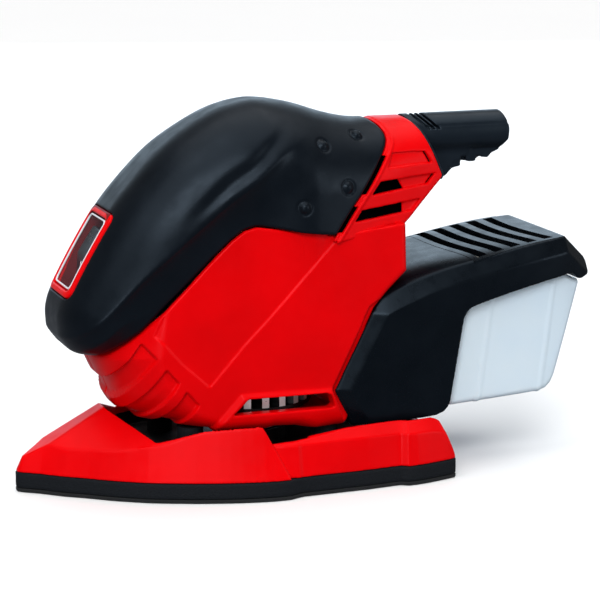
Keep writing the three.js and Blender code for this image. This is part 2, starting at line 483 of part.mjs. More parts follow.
// ---- assembly -----------------------------------------------------------------------
const tool = new THREE.Group();
const add = (...meshes) => tool.add(...meshes);
add(
  node('hook_face', hookFace, foamBlack()),
  node('foam_pad', foamPad, foamBlack()),
  node('base_plate', basePlate, castAlu()),
  node('base_shell', biggest(baseShell), red()),
  node('bearing_screw', bearingScrew, steel()),
  ...PAD_SCREWS.map((p, i) => node(`pad_screw_${i + 1}`, padScrew(p), steel())),
  node('eccentric_bearing', eccentricBearing, steel()),
  node('armature_shaft', shaft, steel()),
  node('eccentric_weight', eccentricWeight, steel()),
  node('fan', fan, castAlu()),
  node('armature_core', armatureCore, steel()),
  node('commutator', commutator, copper()),
  node('stator_core', stator, steel()),
  node('field_coil_left', coil(-1), copper()),
  node('field_coil_right', coil(1), copper()),
  node('lower_bearing', lowerBearing, steel()),
  node('upper_bearing', upperBearing, steel()),
  node('bearing_bridge', bridge, castAlu()),
  node('fan_baffle', baffle, black()),
  node('brush_holder_left', brushHolder(-1), black()),
  node('brush_holder_right', brushHolder(1), black()),
  node('brush_left', brush(-1), foamBlack()),
  node('brush_right', brush(1), foamBlack()),
  node('capacitor', capacitor, black()),
  node('housing_left', housingLeft, red()),
  node('housing_right', housingRight, red()),
  ...SCREWS.map((p, i) => node(`housing_screw_${i + 1}`, housingScrew(p), steel())),
  node('grip_cover', biggest(gripCover), softBlack()),
  node('vent_collar', collar, red()),
  node('cord_sleeve', biggest(sleeve), softBlack()),
  node('cord_clamp', cordClamp, black()),
  node('switch_bezel', switchBezel, red()),
  node('switch_boot', switchBoot, clear()),
  node('switch_rocker', switchRocker, black()),
  node('switch_body', switchBody, black()),
  node('dust_outlet', nozzle, black()),
  node('outlet_seal', seal, foamBlack()),
  node('box_frame', boxFrame, softBlack()),
  node('filter_frame', filterFrame, black()),
  node('filter_element', filterElement, mat(0xe8e4d8, 0.9)),
  node('dust_bin', dustBin, clear()),
  ...FEET.map((p, i) => node(`rubber_foot_${i + 1}`, rubberFoot(p), foamBlack())),
);
const part = new THREE.Group();
part.add(tool);
tool.position.set(-ORIGIN_X, 0, 0);
part.updateMatrixWorld(true);

export default part;
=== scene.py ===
import json
import math

import bpy
import numpy as np
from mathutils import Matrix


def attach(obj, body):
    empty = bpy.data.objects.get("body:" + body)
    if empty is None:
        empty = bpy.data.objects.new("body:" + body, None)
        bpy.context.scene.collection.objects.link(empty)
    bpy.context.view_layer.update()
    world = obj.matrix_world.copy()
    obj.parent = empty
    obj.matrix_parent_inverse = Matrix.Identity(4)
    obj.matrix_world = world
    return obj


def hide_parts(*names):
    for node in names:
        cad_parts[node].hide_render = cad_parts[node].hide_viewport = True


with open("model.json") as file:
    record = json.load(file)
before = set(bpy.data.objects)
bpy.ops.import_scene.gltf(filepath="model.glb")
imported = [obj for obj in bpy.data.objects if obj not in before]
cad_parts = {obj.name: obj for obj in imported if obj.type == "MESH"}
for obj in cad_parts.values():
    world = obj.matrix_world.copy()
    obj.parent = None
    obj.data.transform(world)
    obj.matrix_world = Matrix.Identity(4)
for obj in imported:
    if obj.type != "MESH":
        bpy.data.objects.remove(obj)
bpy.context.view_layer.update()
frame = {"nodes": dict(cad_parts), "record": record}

import openvdb as vdb
from mathutils import Matrix, Vector

OX = 122.75                      # nose tip to the row's origin, mm
H = 0.55  # field pitch, mm
INF = 60.0


# ------------------------------------------------------------------ 2-D and 3-D fields
def cr(pts, n=8):
    """Smooth open curve through the points."""
    p = np.array(pts, float)
    e = np.vstack([2 * p[0] - p[1], p, 2 * p[-1] - p[-2]])
    out = []
    t = np.linspace(0, 1, n, endpoint=False)[:, None]
    for i in range(1, len(e) - 2):
        a, b, c, d = e[i - 1], e[i], e[i + 1], e[i + 2]
        out.append(0.5 * (2 * b + (c - a) * t + (2 * a - 5 * b + 4 * c - d) * t * t
                          + (3 * b - a - 3 * c + d) * t ** 3))
    return np.vstack(out + [p[-1:]])


def sm(x, pts, n=8):
    c = cr(pts, n)
    return np.interp(x, c[:, 0], c[:, 1]).astype(np.float32)


def poly2(A, B, pts):
    """Signed distance to a closed polygon, negative inside."""
    A, B = np.broadcast_arrays(A, B)
    shape = A.shape
    a, b = A.ravel().astype(np.float32), B.ravel().astype(np.float32)
    p = np.array(pts, np.float32)
    best = np.full(a.shape, 1e12, np.float32)
    inside = np.zeros(a.shape, bool)
    for i in range(len(p)):
        (x0, y0), (x1, y1) = p[i], p[(i + 1) % len(p)]
        dx, dy = x1 - x0, y1 - y0
        L = dx * dx + dy * dy
        if L < 1e-9:
            continue
        t = np.clip(((a - x0) * dx + (b - y0) * dy) / L, 0, 1)
        best = np.minimum(best, (a - x0 - t * dx) ** 2 + (b - y0 - t * dy) ** 2)
        if y0 != y1:
            cross = ((y0 > b) != (y1 > b)) & (a < (x1 - x0) * (b - y0) / (y1 - y0) + x0)
            inside ^= cross
    d = np.sqrt(best)
    return np.where(inside, -d, d).reshape(shape).astype(np.float32)


def rmax(a, b, r):
    u, v = np.maximum(a + r, 0), np.maximum(b + r, 0)
    return np.minimum(np.maximum(a, b), -r) + np.sqrt(u * u + v * v)


def rmin(a, b, r):
    u, v = np.maximum(r - a, 0), np.maximum(r - b, 0)
    return np.maximum(np.minimum(a, b), r) - np.sqrt(u * u + v * v)


def ramp(x, a, b):
    t = np.clip((x - a) / (b - a), 0, 1)
    return t * t * (3 - 2 * t)


def cut(f, g, r=0.35):
    """f without g, edges eased by r."""
    return rmax(f, -g, r)


class Grid:
    """Half-space sample grid (y >= 0) in nose-frame millimetres."""

    def __init__(self, x0, x1, y1, z0, z1, h=H):
        self.h, self.x0, self.z0 = h, x0, z0
        self.x = np.arange(x0, x1, h, dtype=np.float32)
        self.y = np.arange(0, y1, h, dtype=np.float32)
        self.z = np.arange(z0, z1, h, dtype=np.float32)
        self.X, self.Y, self.Z = self.x[:, None, None], self.y[None, :, None], self.z[None, None, :]
        self.X2, self.Z2 = self.x[:, None], self.z[None, :]

    def side(self, pts):
        """Profile in (x, z), endless along y."""
        return poly2(self.X2, self.Z2, pts)[:, None, :]

    def plan(self, pts):
        """Profile in (x, y), endless along z."""
        return poly2(self.x[:, None], self.y[None, :], pts)[:, :, None]

    def front(self, pts):
        return poly2(self.y[:, None], self.z[None, :], pts)[None, :, :]

    def full(self):
        return np.concatenate([-self.y[:0:-1], self.y])[None, :, None]


def mesh_field(name, g, F, sign=None, carve=None):
    """Surface where F is 0. F is given on y >= 0; sign -1 or 1 keeps one half of the object."""
    F = np.broadcast_to(F, (len(g.x), len(g.y), len(g.z)))
    full = np.concatenate([F[:, :0:-1], F], axis=1).astype(np.float32)
    if sign:
        full = np.maximum(full, 0.12 - sign * g.full())
    if carve is not None:
        full = carve(full, g.full())
    h = g.h
    lim = 4 * h
    full = np.clip(full, -lim, lim)
    full = np.pad(full, 1, constant_values=lim)
    grid = vdb.FloatGrid(float(lim))
    grid.copyFromArray(np.ascontiguousarray(full))
    pts, quads = grid.convertToQuads(0.0)
    pts = np.asarray(pts, np.float64)
    quads = np.asarray(quads, np.int64)
    org = np.array([g.x0 - h, -(len(g.y) - 1) * h - h, g.z0 - h])
    v = org + pts * h
    a, b, c, d = (v[quads[:, k]] for k in range(4))
    vol = (np.einsum("ij,ij->i", a, np.cross(b, c)) + np.einsum("ij,ij->i", a, np.cross(c, d))).sum()
    if vol < 0:
        quads = quads[:, ::-1]
    return make_mesh(name, v, quads)


def make_mesh(name, v_mm, faces, smooth=True):
    v = np.array(v_mm, np.float64)
    v[:, 0] -= OX
    v /= 1000.0
    me = bpy.data.meshes.new(name)
    faces = np.asarray(faces)
    if faces.ndim == 2:
        k = faces.shape[1]
        me.vertices.add(len(v))
        me.vertices.foreach_set("co", v.astype(np.float32).ravel())
        me.loops.add(faces.size)
        me.loops.foreach_set("vertex_index", faces.astype(np.int32).ravel())
        me.polygons.add(len(faces))
        me.polygons.foreach_set("loop_start", np.arange(0, faces.size, k, dtype=np.int32))
        me.polygons.foreach_set("loop_total", np.full(len(faces), k, np.int32))
        me.update(calc_edges=True)
        me.validate()
    else:
        me.from_pydata([tuple(p) for p in v], [], [list(map(int, f)) for f in faces])
        me.update()
    me.polygons.foreach_set("use_smooth", np.full(len(me.polygons), smooth, bool))
    me.update()
    o = bpy.data.objects.new(name, me)
    bpy.context.scene.collection.objects.link(o)
    return o


# ------------------------------------------------------------------ materials
def node_mat(name):
    m = bpy.data.materials.new(name)
    m.use_nodes = True
    nt = m.node_tree
    for n in list(nt.nodes):
        nt.nodes.remove(n)
    out = nt.nodes.new("ShaderNodeOutputMaterial")
    bsdf = nt.nodes.new("ShaderNodeBsdfPrincipled")
    nt.links.new(bsdf.outputs[0], out.inputs[0])
    return m, nt, bsdf


def coords(nt, scale=1.0):
    tc = nt.nodes.new("ShaderNodeTexCoord")
    mp = nt.nodes.new("ShaderNodeMapping")
    mp.inputs["Scale"].default_value = (scale,) * 3 if not isinstance(scale, tuple) else scale
    nt.links.new(tc.outputs["Object"], mp.inputs[0])
    return mp.outputs[0]


def noise(nt, vec, scale, detail=3.0, rough=0.5):
    n = nt.nodes.new("ShaderNodeTexNoise")
    n.inputs["Scale"].default_value = scale
    n.inputs["Detail"].default_value = detail
    n.inputs["Roughness"].default_value = rough
    nt.links.new(vec, n.inputs["Vector"])
    return n.outputs["Fac"]


def maprange(nt, val, lo, hi, a=0.0, b=1.0):
    n = nt.nodes.new("ShaderNodeMapRange")
    n.inputs["From Min"].default_value = a
    n.inputs["From Max"].default_value = b
    n.inputs["To Min"].default_value = lo
    n.inputs["To Max"].default_value = hi
    nt.links.new(val, n.inputs["Value"])
    return n.outputs[0]


def mixcol(nt, fac, a, b):
    n = nt.nodes.new("ShaderNodeMix")
    n.data_type = "RGBA"
    n.inputs[6].default_value = (*a, 1)
    n.inputs[7].default_value = (*b, 1)
    nt.links.new(fac, n.inputs[0])
    return n.outputs[2]


def bump(nt, bsdf, height, dist, strength=1.0, chain=None):
    n = nt.nodes.new("ShaderNodeBump")
    n.inputs["Strength"].default_value = strength
    n.inputs["Distance"].default_value = dist
    nt.links.new(height, n.inputs["Height"])
    if chain is not None:
        nt.links.new(chain, n.inputs["Normal"])
    nt.links.new(n.outputs[0], bsdf.inputs["Normal"])
    return n.outputs[0]


def plastic(name, a, b, rough, grain_scale, grain_mm, spec=0.5, coat=0.0, coat_rough=0.1, spread=0.06, ior=1.5, sheen=(1.0, 1.0, 1.0)):
    m, nt, bs = node_mat(name)
    bs.inputs["IOR"].default_value = ior
    bs.inputs["Specular Tint"].default_value = (*sheen, 1)
    v = coords(nt)
    tone = noise(nt, v, 38.0, 3.0)
    nt.links.new(mixcol(nt, maprange(nt, tone, 0, 1, 0.35, 0.65), a, b), bs.inputs["Base Color"])
    nt.links.new(maprange(nt, noise(nt, v, 160.0, 4.0), rough - spread, rough + spread, 0.3, 0.7), bs.inputs["Roughness"])
    bs.inputs["Specular IOR Level"].default_value = spec
    bs.inputs["Coat Weight"].default_value = coat
    bs.inputs["Coat Roughness"].default_value = coat_rough
    bump(nt, bs, noise(nt, v, grain_scale, 2.0, 0.6), grain_mm / 1000.0)
    return m


RED = plastic("moulded_red", (0.74, 0.0002, 0.0015), (0.66, 0.0002, 0.0012), 0.34, 2600.0, 0.012, 0.5, ior=1.24, sheen=(1.0, 0.35, 0.42))
# Darker, duller copy of the red moulding: painted shade for the inside of the switch window.
RED_PAINTED_SHADE = plastic("moulded_red_painted_shade", (0.16, 0.0040, 0.0060), (0.11, 0.0030, 0.0050), 0.45, 2600.0, 0.014, 0.2)
GRIP = plastic("soft_touch_grip", (0.0016, 0.0027, 0.0046), (0.0028, 0.0044, 0.0070), 0.36, 1800.0, 0.022, 0.5, ior=1.27, sheen=(0.62, 0.80, 1.0))
SATIN = plastic("satin_black", (0.0008, 0.0015, 0.0026), (0.0016, 0.0026, 0.0042), 0.29, 2200.0, 0.005, 0.5, ior=1.27, sheen=(0.58, 0.78, 1.0))
BLACK = plastic("black_nylon", (0.0030, 0.0034, 0.0040), (0.0050, 0.0056, 0.0064), 0.5, 1500.0, 0.020, 0.2)


# Near-black sheet material: painted shade standing in for the dark inside of the collar behind its slots.
PAINTED_SHADE_SHEET = plastic("painted_shade_liner", (0.0004, 0.0004, 0.0005), (0.0007, 0.0007, 0.0008), 0.7, 1500.0, 0.010, 0.05, ior=1.1)
RUBBER = plastic("cord_rubber", (0.0040, 0.0066, 0.0105), (0.0056, 0.0086, 0.0135), 0.34, 1800.0, 0.012, 0.5, ior=1.33, sheen=(0.62, 0.82, 1.0))


def foam_mat():
    m, nt, bs = node_mat("foam_black")
    v = coords(nt)
    vo = nt.nodes.new("ShaderNodeTexVoronoi")
    vo.inputs["Scale"].default_value = 1400.0
    nt.links.new(v, vo.inputs["Vector"])
    nt.links.new(mixcol(nt, maprange(nt, vo.outputs["Distance"], 0, 1, 0, 0.8), (0.0022, 0.0034, 0.0054), (0.0045, 0.0064, 0.0092)), bs.inputs["Base Color"])
    bs.inputs["Roughness"].default_value = 0.75
    bs.inputs["Specular IOR Level"].default_value = 0.2
    bump(nt, bs, vo.outputs["Distance"], 0.00012)
    return m


def loop_mat():
    m, nt, bs = node_mat("hook_face_black")
    v = coords(nt)
    n1 = noise(nt, v, 3200.0, 4.0, 0.7)
    nt.links.new(mixcol(nt, n1, (0.003, 0.0035, 0.0042), (0.012, 0.013, 0.015)), bs.inputs["Base Color"])
    bs.inputs["Roughness"].default_value = 0.95
    bump(nt, bs, n1, 0.00035)
    return m


def metal(name, a, b, rough, scale=(60.0, 60.0, 900.0), aniso=0.0):
    m, nt, bs = node_mat(name)
    v = coords(nt, scale)
    n1 = noise(nt, v, 1.0, 3.0)
    nt.links.new(mixcol(nt, n1, a, b), bs.inputs["Base Color"])
    bs.inputs["Metallic"].default_value = 1.0
    nt.links.new(maprange(nt, n1, rough - 0.08, rough + 0.1, 0.3, 0.7), bs.inputs["Roughness"])
    bump(nt, bs, n1, 0.00003)
    return m


STEEL = metal("turned_steel", (0.50, 0.51, 0.53), (0.62, 0.63, 0.65), 0.32)
ALLOY = metal("cast_alloy", (0.86, 0.87, 0.88), (0.96, 0.97, 0.98), 0.34, (300.0, 300.0, 300.0))
ALLOY.node_tree.nodes["Principled BSDF"].inputs["Metallic"].default_value = 0.45
COPPER = metal("enamelled_copper", (0.50, 0.20, 0.09), (0.66, 0.30, 0.14), 0.35, (900.0, 900.0, 900.0))
# Near-black steel: painted shade for parts sitting in the dark pocket under the housing and between the fan blades.
STEEL_PAINTED_SHADE = metal("steel_painted_shade", (0.030, 0.031, 0.033), (0.050, 0.052, 0.055), 0.45)
FOAM = foam_mat()
HOOK = loop_mat()


def paper_mat():
    m, nt, bs = node_mat("filter_paper")
    v = coords(nt)
    n1 = noise(nt, v, 1800.0, 5.0, 0.7)
    nt.links.new(mixcol(nt, n1, (0.70, 0.67, 0.58), (0.86, 0.84, 0.76)), bs.inputs["Base Color"])
    bs.inputs["Roughness"].default_value = 0.9
    bump(nt, bs, n1, 0.0001)
    return m


PAPER = paper_mat()


def bin_mat():
    m, nt, bs = node_mat("frosted_clear")
    v = coords(nt)
    n1 = noise(nt, v, 26.0, 2.35)
    nt.links.new(mixcol(nt, maprange(nt, n1, 0, 1, 0.3, 0.7), (0.70, 0.86, 1.0), (0.76, 0.90, 1.0)), bs.inputs["Base Color"])
    bs.inputs["Roughness"].default_value = 0.38
    bs.inputs["Transmission Weight"].default_value = 0.08
    bs.inputs["IOR"].default_value = 1.45
    bs.inputs["Subsurface Weight"].default_value = 0.2
    bs.inputs["Subsurface Radius"].default_value = (0.01, 0.012, 0.014)
    bs.inputs["Subsurface Scale"].default_value = 0.6
    bump(nt, bs, noise(nt, v, 900.0, 2.0), 0.00002)
    return m


FROST = bin_mat()


def boot_mat(name, alpha, tint):
    m, nt, bs = node_mat(name)
    v = coords(nt)
    n1 = noise(nt, v, 260.0, 2.0)
    nt.links.new(mixcol(nt, n1, tint, tuple(0.9 * c for c in tint)), bs.inputs["Base Color"])
    nt.links.new(maprange(nt, n1, 0.05, 0.12, 0.3, 0.7), bs.inputs["Roughness"])
    bs.inputs["Alpha"].default_value = alpha
    bs.inputs["IOR"].default_value = 1.4
    bump(nt, bs, n1, 0.00012)
    return m


BOOT = boot_mat("clear_boot", 0.05, (0.20, 0.22, 0.26))
# Near-white, mostly opaque clear plastic: painted highlight along the boot's edge.
BOOT_PAINTED_HIGHLIGHT = boot_mat("clear_boot_painted_highlight", 0.8, (0.90, 0.93, 0.98))


# White material for the rocker's painted highlight.
def rocker_highlight_mat():
    m, nt, bs = node_mat("rocker_painted_highlight_white")
    v = coords(nt)
    n1 = noise(nt, v, 900.0, 2.0)
    nt.links.new(mixcol(nt, n1, (0.82, 0.84, 0.86), (0.90, 0.91, 0.92)), bs.inputs["Base Color"])
    bs.inputs["Roughness"].default_value = 0.5
    return m


ROCKER_PAINTED_HIGHLIGHT = rocker_highlight_mat()


def dress(o, material):
    o.data.materials.clear()
    o.data.materials.append(material)
    return o


def place(o, material, body, *nodes, slot=None):
    dress(o, material)
    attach(o, body)
    if nodes:
        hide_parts(*nodes)
    return o


# ------------------------------------------------------------------ camera
def mm(x, y, z):
    return Vector(((x - OX) / 1000.0, y / 1000.0, z / 1000.0))


cam_data = bpy.data.cameras.new("camera")
cam = bpy.data.objects.new("camera", cam_data)
bpy.context.scene.collection.objects.link(cam)
cam_data.sensor_width = 36.0
cam_data.lens = 36.0 * 2314.0 / 600.0
cam_data.clip_start, cam_data.clip_end = 0.05, 20.0
az, el, dist = math.radians(20.0), math.radians(12.0), 978.0
back = Vector((-math.sin(az) * math.cos(el), -math.cos(az) * math.cos(el), math.sin(el)))
target = Vector((124.0, 0.0, 71.0))
eye = target + back * dist
cam.location = mm(*eye)
cam.rotation_euler = (-back).to_track_quat("-Z", "Y").to_euler()
bpy.context.scene.camera = cam

# ------------------------------------------------------------------ pad
EDGE = [(0.0, 0.0), (0.1, 1.6), (1.2, 3.0), (3.7, 4.8), (8, 7.8), (11.9, 11.4), (16.2, 15.1), (20.4, 18.1), (24.7, 21.1),
        (28.5, 24.3), (32.7, 27.4), (36.9, 30.3), (41.4, 33.1), (45.6, 35.6), (50.2, 37.8), (54.7, 39.8), (59.3, 41.6),
        (63.4, 43.3), (68.4, 44.9), (72.9, 46.4), (77.4, 47.7), (82, 48.9), (87, 50), (91.5, 50.8), (96.6, 51.3),
        (101.6, 51.3)]
EDGE_REAR = [(106.2, 49.4), (108, 48.8), (123.9, 48.5), (137, 48.2), (149.8, 47.0), (151.4, 46.9), (154.2, 48.9),
             (159, 48.7), (164.2, 47.7), (169.3, 46.4), (174.4, 45.0), (177.2, 43.8), (178, 42.6)]


def mirror(pts):
    return pts + [(x, -y) for x, y in reversed(pts) if y > 0]


def pad_slab(name, z0, z1, ease, material, node, slot):
    """Sole outline as a slab with eased edges, built as stacked rings."""
    pts = np.array(mirror(EDGE + EDGE_REAR))
    nxt, prv = np.roll(pts, -1, 0), np.roll(pts, 1, 0)
    tan = nxt - prv
    nrm = np.stack([-tan[:, 1], tan[:, 0]], 1)
    nrm /= np.linalg.norm(nrm, axis=1)[:, None]
    if ((pts - [90, 0]) * nrm).sum() < 0:
        nrm = -nrm
    levels = [(z0, -ease), (z0 + ease * 0.3, -ease * 0.3), (z0 + ease, 0)]
    k = 5
    for i in range(1, k):
        t = i / k
        levels.append((z0 + ease + (z1 - z0 - 2 * ease) * t, 0.0))
    levels += [(z1 - ease, 0), (z1 - ease * 0.3, -ease * 0.3), (z1, -ease)]
    v, f = [], []
    n = len(pts)
    for z, d in levels:
        q = pts + nrm * d
        v += [(x, y, z) for x, y in q]
    for i in range(len(levels) - 1):
        for j in range(n):
            a, b = i * n + j, i * n + (j + 1) % n
            f.append([a, b, b + n, a + n])
    v.append((90, 0, z0)); v.append((90, 0, z1))
    lo, hi = len(v) - 2, len(v) - 1
    top = (len(levels) - 1) * n
    for j in range(n):
        f.append([lo, (j + 1) % n, j])
        f.append([hi, top + j, top + (j + 1) % n])
    vv = np.array(v)
    area = sum(pts[j][0] * pts[(j + 1) % n][1] - pts[(j + 1) % n][0] * pts[j][1] for j in range(n))
    if area < 0:
        f = [q[::-1] for q in f]
    me = bpy.data.meshes.new(name)
    vv[:, 0] -= OX
    me.from_pydata([tuple(p / 1000.0) for p in vv], [], f)
    me.update()
    o = bpy.data.objects.new(name, me)
    bpy.context.scene.collection.objects.link(o)
    for p in me.polygons:
        p.use_smooth = True
    me.set_sharp_from_angle(angle=math.radians(38))
    return place(o, material, "pad", node, slot=slot)


pad_slab("foam_pad_soft", 1.75, 8.0, 0.35, FOAM, "foam_pad", "foam_rubber")
pad_slab("hook_face_pile", 0.0, 1.45, 0.25, HOOK, "hook_face", "foam_rubber")


def base_field():
    g = Grid(-2, 181, 54, 6.5, 39, H * 0.85)
    X, Y, Z = g.X, g.Y, g.Z
    wide = g.plan(mirror(EDGE + [(130, 51.0), (160, 44), (165, 0)]))
    narrow = g.plan(mirror(EDGE[:9] + [(60, 37), (90, 46.2), (100, 48.6)] + EDGE_REAR))
    draft = 0.335 + 0.09 * (1 - ramp(X, 2, 26))
    skirt = (wide + draft * (Z - 8)) * 0.948
    facet = (Z - 17.0 - 0.509 * X + 0.622 * Y) * 0.779
    rimz = sm(X, [(30, 20.0), (44, 21.6), (51.8, 22.7), (67, 24.3), (82.5, 25.3), (92.2, 25.7), (112, 26.0)])
    facet = np.where(X > 44, np.minimum(facet, Z - rimz), facet)
    crest = (Z - 12.9 - 0.555 * X) * 0.874
    front = rmax(rmax(skirt, facet, 0.45), crest, 0.45)
    # the broad front part ends in a slanting step on each side
    front = rmax(front, (X - 102.6 + (Z - 7) * 0.46) * 0.908, 0.4)
    front = np.maximum(front, X - 106)
    # rear part: low skirt, crease, then an upper slope
    rear = (narrow + 0.16 * (Z - 8)) * 0.985
    rtop = np.interp(X, [80, 105, 129.8, 159.3, 166.8, 171.4, 179.2], [21.5, 22.6, 25.6, 26.6, 26.7, 24.1, 6.2]).astype(np.float32)
    rcre = sm(X, [(80, 20.6), (124.7, 21.4), (156, 21.3), (168, 20.9), (174, 18), (179, 7)])
    upper_slope = (narrow + 0.16 * (rcre - 8) + 0.95 * (Z - rcre)) * 0.72
    rear = rmax(rear, upper_slope, 0.25)
    rear = rmax(rear, (Z - rtop) * 0.9, 0.4)
    rear = rmax(rear, (X - 178.7 + 0.36 * (Z - 8)) * 0.94, 0.8)
    rear = np.maximum(rear, 88 - X)
    body = rmin(front, rear, 0.01)
    body = rmax(body, 8.25 - Z, 0.3)
    # open well behind the nose
    inset = sm(X, [(30, 6.6), (50, 6.7), (70, 7.3), (92, 7.7), (110, 7.6), (178, 7.4)])
    well_front = np.maximum(np.maximum(wide + inset, X - 112), 37.4 + 0.488 * np.maximum(Y - 4.3, 0) - 0.12 * (Z - 30) - X)
    well_rear = np.maximum(np.maximum(narrow + 7.2, 85 - X), X - 181)
    well = np.minimum(well_front, well_rear)
    well = np.maximum(well, 14.1 - Z)
    lip = np.maximum(np.maximum(X - 190, 164.5 - X), np.maximum(Y - 36.6, 17.2 - Z))
    body = cut(body, well, 0.8)
    body = cut(body, lip, 0.6)
    return g, body


g, F = base_field()
base = place(mesh_field("base_shell_moulding", g, F), RED, "pad", "base_shell", slot="red_plastic")
# The well floor and inner walls get black nylon faces as painted shade, standing in for the deep shadow under the
# housing.
base.data.materials.append(BLACK)
spots = np.empty(len(base.data.polygons) * 3, np.float32)
base.data.polygons.foreach_get("center", spots)
spots = spots.reshape(-1, 3) * 1000.0
ring = poly2(spots[:, 0] + OX, np.abs(spots[:, 1]), mirror(EDGE + EDGE_REAR))
well_painted_shade = (spots[:, 2] < 20.5) & (spots[:, 2] > 9) & (ring < -6.4) & (spots[:, 0] + OX > 38)
base.data.polygons.foreach_set("material_index", well_painted_shade.astype(np.int32))

# ------------------------------------------------------------------ hood, housing, collar, sleeve
CROWN = [(36, 51.4), (28.0, 52.4), (20.8, 56.0), (17.1, 62.2), (16.3, 69.0), (16.4, 74), (18.0, 79.8), (21.6, 87.0), (28.7, 99.6),
         (38.4, 115.0), (48.6, 127.4), (60.6, 139.4), (73, 147.9), (85.4, 154.2), (98, 157.5), (107, 157.6), (119.6, 155.2),
         (132.9, 150.9), (144, 148.3), (153, 147.7), (162, 147.7)]
RIM = [(5, 56), (24, 56.4), (31, 57.2), (36, 60.6), (41.5, 64.8), (46, 69), (50.5, 73.8), (56.5, 79.8), (66, 88.8), (75.4, 97.9),
       (83, 104.6), (88.5, 108.4), (94, 109.7), (101, 108.6), (112, 106.4), (131, 103.9)]
SEAM = [(123.6, 99.6), (127.9, 105.4), (135.1, 114.6), (140.2, 120.4), (150.5, 133.4), (153.6, 137.2), (155.2, 139.9), (155.6, 142.2),
        (154.7, 144.8), (152.8, 147.2), (151.9, 150), (151.6, 170)]


def upper_field(g):
    """Outer surface of hood and collar together, before they part."""
    X, Y, Z = g.X, g.Y, g.Z
    side = g.side(list(map(tuple, cr(CROWN, 6))) + [(230, 148), (230, 40), (40, 40)])
    W = sm(X, [(10, 33), (22, 33.4), (38, 35.2), (60, 36.8), (85, 37.1), (98, 36.8), (110, 35.8), (122, 34.2),
               (134, 31.6), (146, 28.4), (158, 24.4), (170, 20.6), (182, 18.0), (200, 17)])
    zc = sm(X, [(10, 62.5), (18.7, 66.7), (23.7, 70.1), (30.5, 75.8), (37.9, 83.0), (46.6, 91.8), (55.5, 99.6), (65, 107.6), (81.3, 120.6), (92, 127.5), (105.4, 138.0), (120, 146)])
    fade = 1 - ramp(X, 92, 120)
    d = (zc - Z)
    d = 0.5 * (d + np.sqrt(d * d + 0.5))
    tuck = 5.6 * (1 - np.exp(-d / 6.5)) * fade
    # sides lean out below the crown towards the rear
    low = ramp(X, 92, 122) * np.clip((132 - Z) / 30, -1, 1.0) * 2.2
    r = sm(X, [(10, 25), (25, 26), (45, 29), (70, 33), (98, 34), (122, 31.6), (134, 29), (146, 26), (158, 22), (170, 19), (182, 16.5), (200, 15)])
    valley = 1.3 * np.exp(-((Z - zc - 6.5) / 3.6) ** 2) * ramp(X, 60, 82) * (1 - ramp(X, 98, 112))
    chin = 1 - ramp(X, 26, 44)
    lateral = Y - (W - tuck * (1 - chin) + low - valley)
    return rmax(side, lateral, r) + 0.62 * tuck * chin, W


def hood_field():
    g = Grid(15, 158, 40.5, 52, 161)
    U, W = upper_field(g)
    X, Y, Z = g.X, g.Y, g.Z
    rim = g.side(RIM + [(200, 103.9), (200, 190), (5, 190)])
    seam = g.side(SEAM + [(-20, 170), (-20, 20), (123.6, 20)])
    rr = sm(X, [(10, 4.5), (26, 4.5), (40, 2.6), (60, 1.3), (120, 1.2), (170, 1.2)])
    hood = rmax(U, rim, rr)
    hood = rmax(hood, seam, 1.1)
    hood = cut(hood, U + 2.6, 0.2)
    # domed grip nubs with a moat
    for nx, ny, nz in [(113.4, 35.2, 116.6), (133.2, 31.6, 123.4), (124.3, 26.5, 140.4), (142.3, 18.5, 143.4)]:
        rt = np.sqrt((X - nx) ** 2 + (Y - ny) ** 2 + (Z - nz) ** 2)
        moat = np.sqrt((rt - 2.95) ** 2 + U ** 2) - 0.45
        hood = cut(hood, moat, 0.3)
        dome = np.sqrt(np.maximum(rt * rt - U * U, 0) + (U + 1.1) ** 2) - 2.5
        hood = rmin(hood, np.maximum(dome, -U - 2.2), 0.25)
    return g, hood, U


def window_axes(g):
    """u into the tool along the window's normal, v up its face."""
    t = math.radians(25.4)
    u = (g.X - 31.8) * math.cos(t) - (g.Z - 97.0) * math.sin(t)
    v = (g.X - 31.8) * math.sin(t) + (g.Z - 97.0) * math.cos(t)
    return u, v


def rbox2(a, b, ha, hb, r):
    qa, qb = np.abs(a) - ha + r, np.abs(b) - hb + r
    return np.sqrt(np.maximum(qa, 0) ** 2 + np.maximum(qb, 0) ** 2) + np.minimum(np.maximum(qa, qb), 0) - r


g, F, U = hood_field()
u, v = window_axes(g)
F = cut(F, np.maximum(rbox2(g.Y, v, 14.9, 19.5, 3.8), u - 30), 0.4)
place(mesh_field("grip_cover_skin", g, F), GRIP, "housing", "grip_cover", slot="soft_grip")

# bezel, boot and rocker
g = Grid(17, 52, 17, 68, 122, H * 0.7)
u, v = window_axes(g)
U2, _ = upper_field(g)
frame_out = rbox2(g.Y, v, 14.6, 19.2, 3.6)
frame_in = rbox2(g.Y, v, 11.7, 16.2, 2.4)
bez = rmax(frame_out, np.maximum(U2 - 0.35, u - 5.2), 0.6)
bez = cut(bez, frame_in + np.clip(u, -3, 3) * 0.12, 0.5)
tunnel = cut(np.maximum(rbox2(g.Y, v, 13.4, 18.2, 2.6), np.abs(u - 11.0) - 7.0), rbox2(g.Y, v, 11.8, 16.6, 2.0), 0.3)
bez = np.minimum(bez, tunnel)
bezel = place(mesh_field("switch_bezel_moulding", g, bez), RED, "housing", "switch_bezel", slot="red_plastic")
bezel.data.materials.append(RED_PAINTED_SHADE)
spots = np.empty(len(bezel.data.polygons) * 3, np.float32)
bezel.data.polygons.foreach_get("center", spots)
spots = spots.reshape(-1, 3) * 1000.0
t = math.radians(25.4)
su = (spots[:, 0] + OX - 31.8) * math.cos(t) - (spots[:, 2] - 97.0) * math.sin(t)
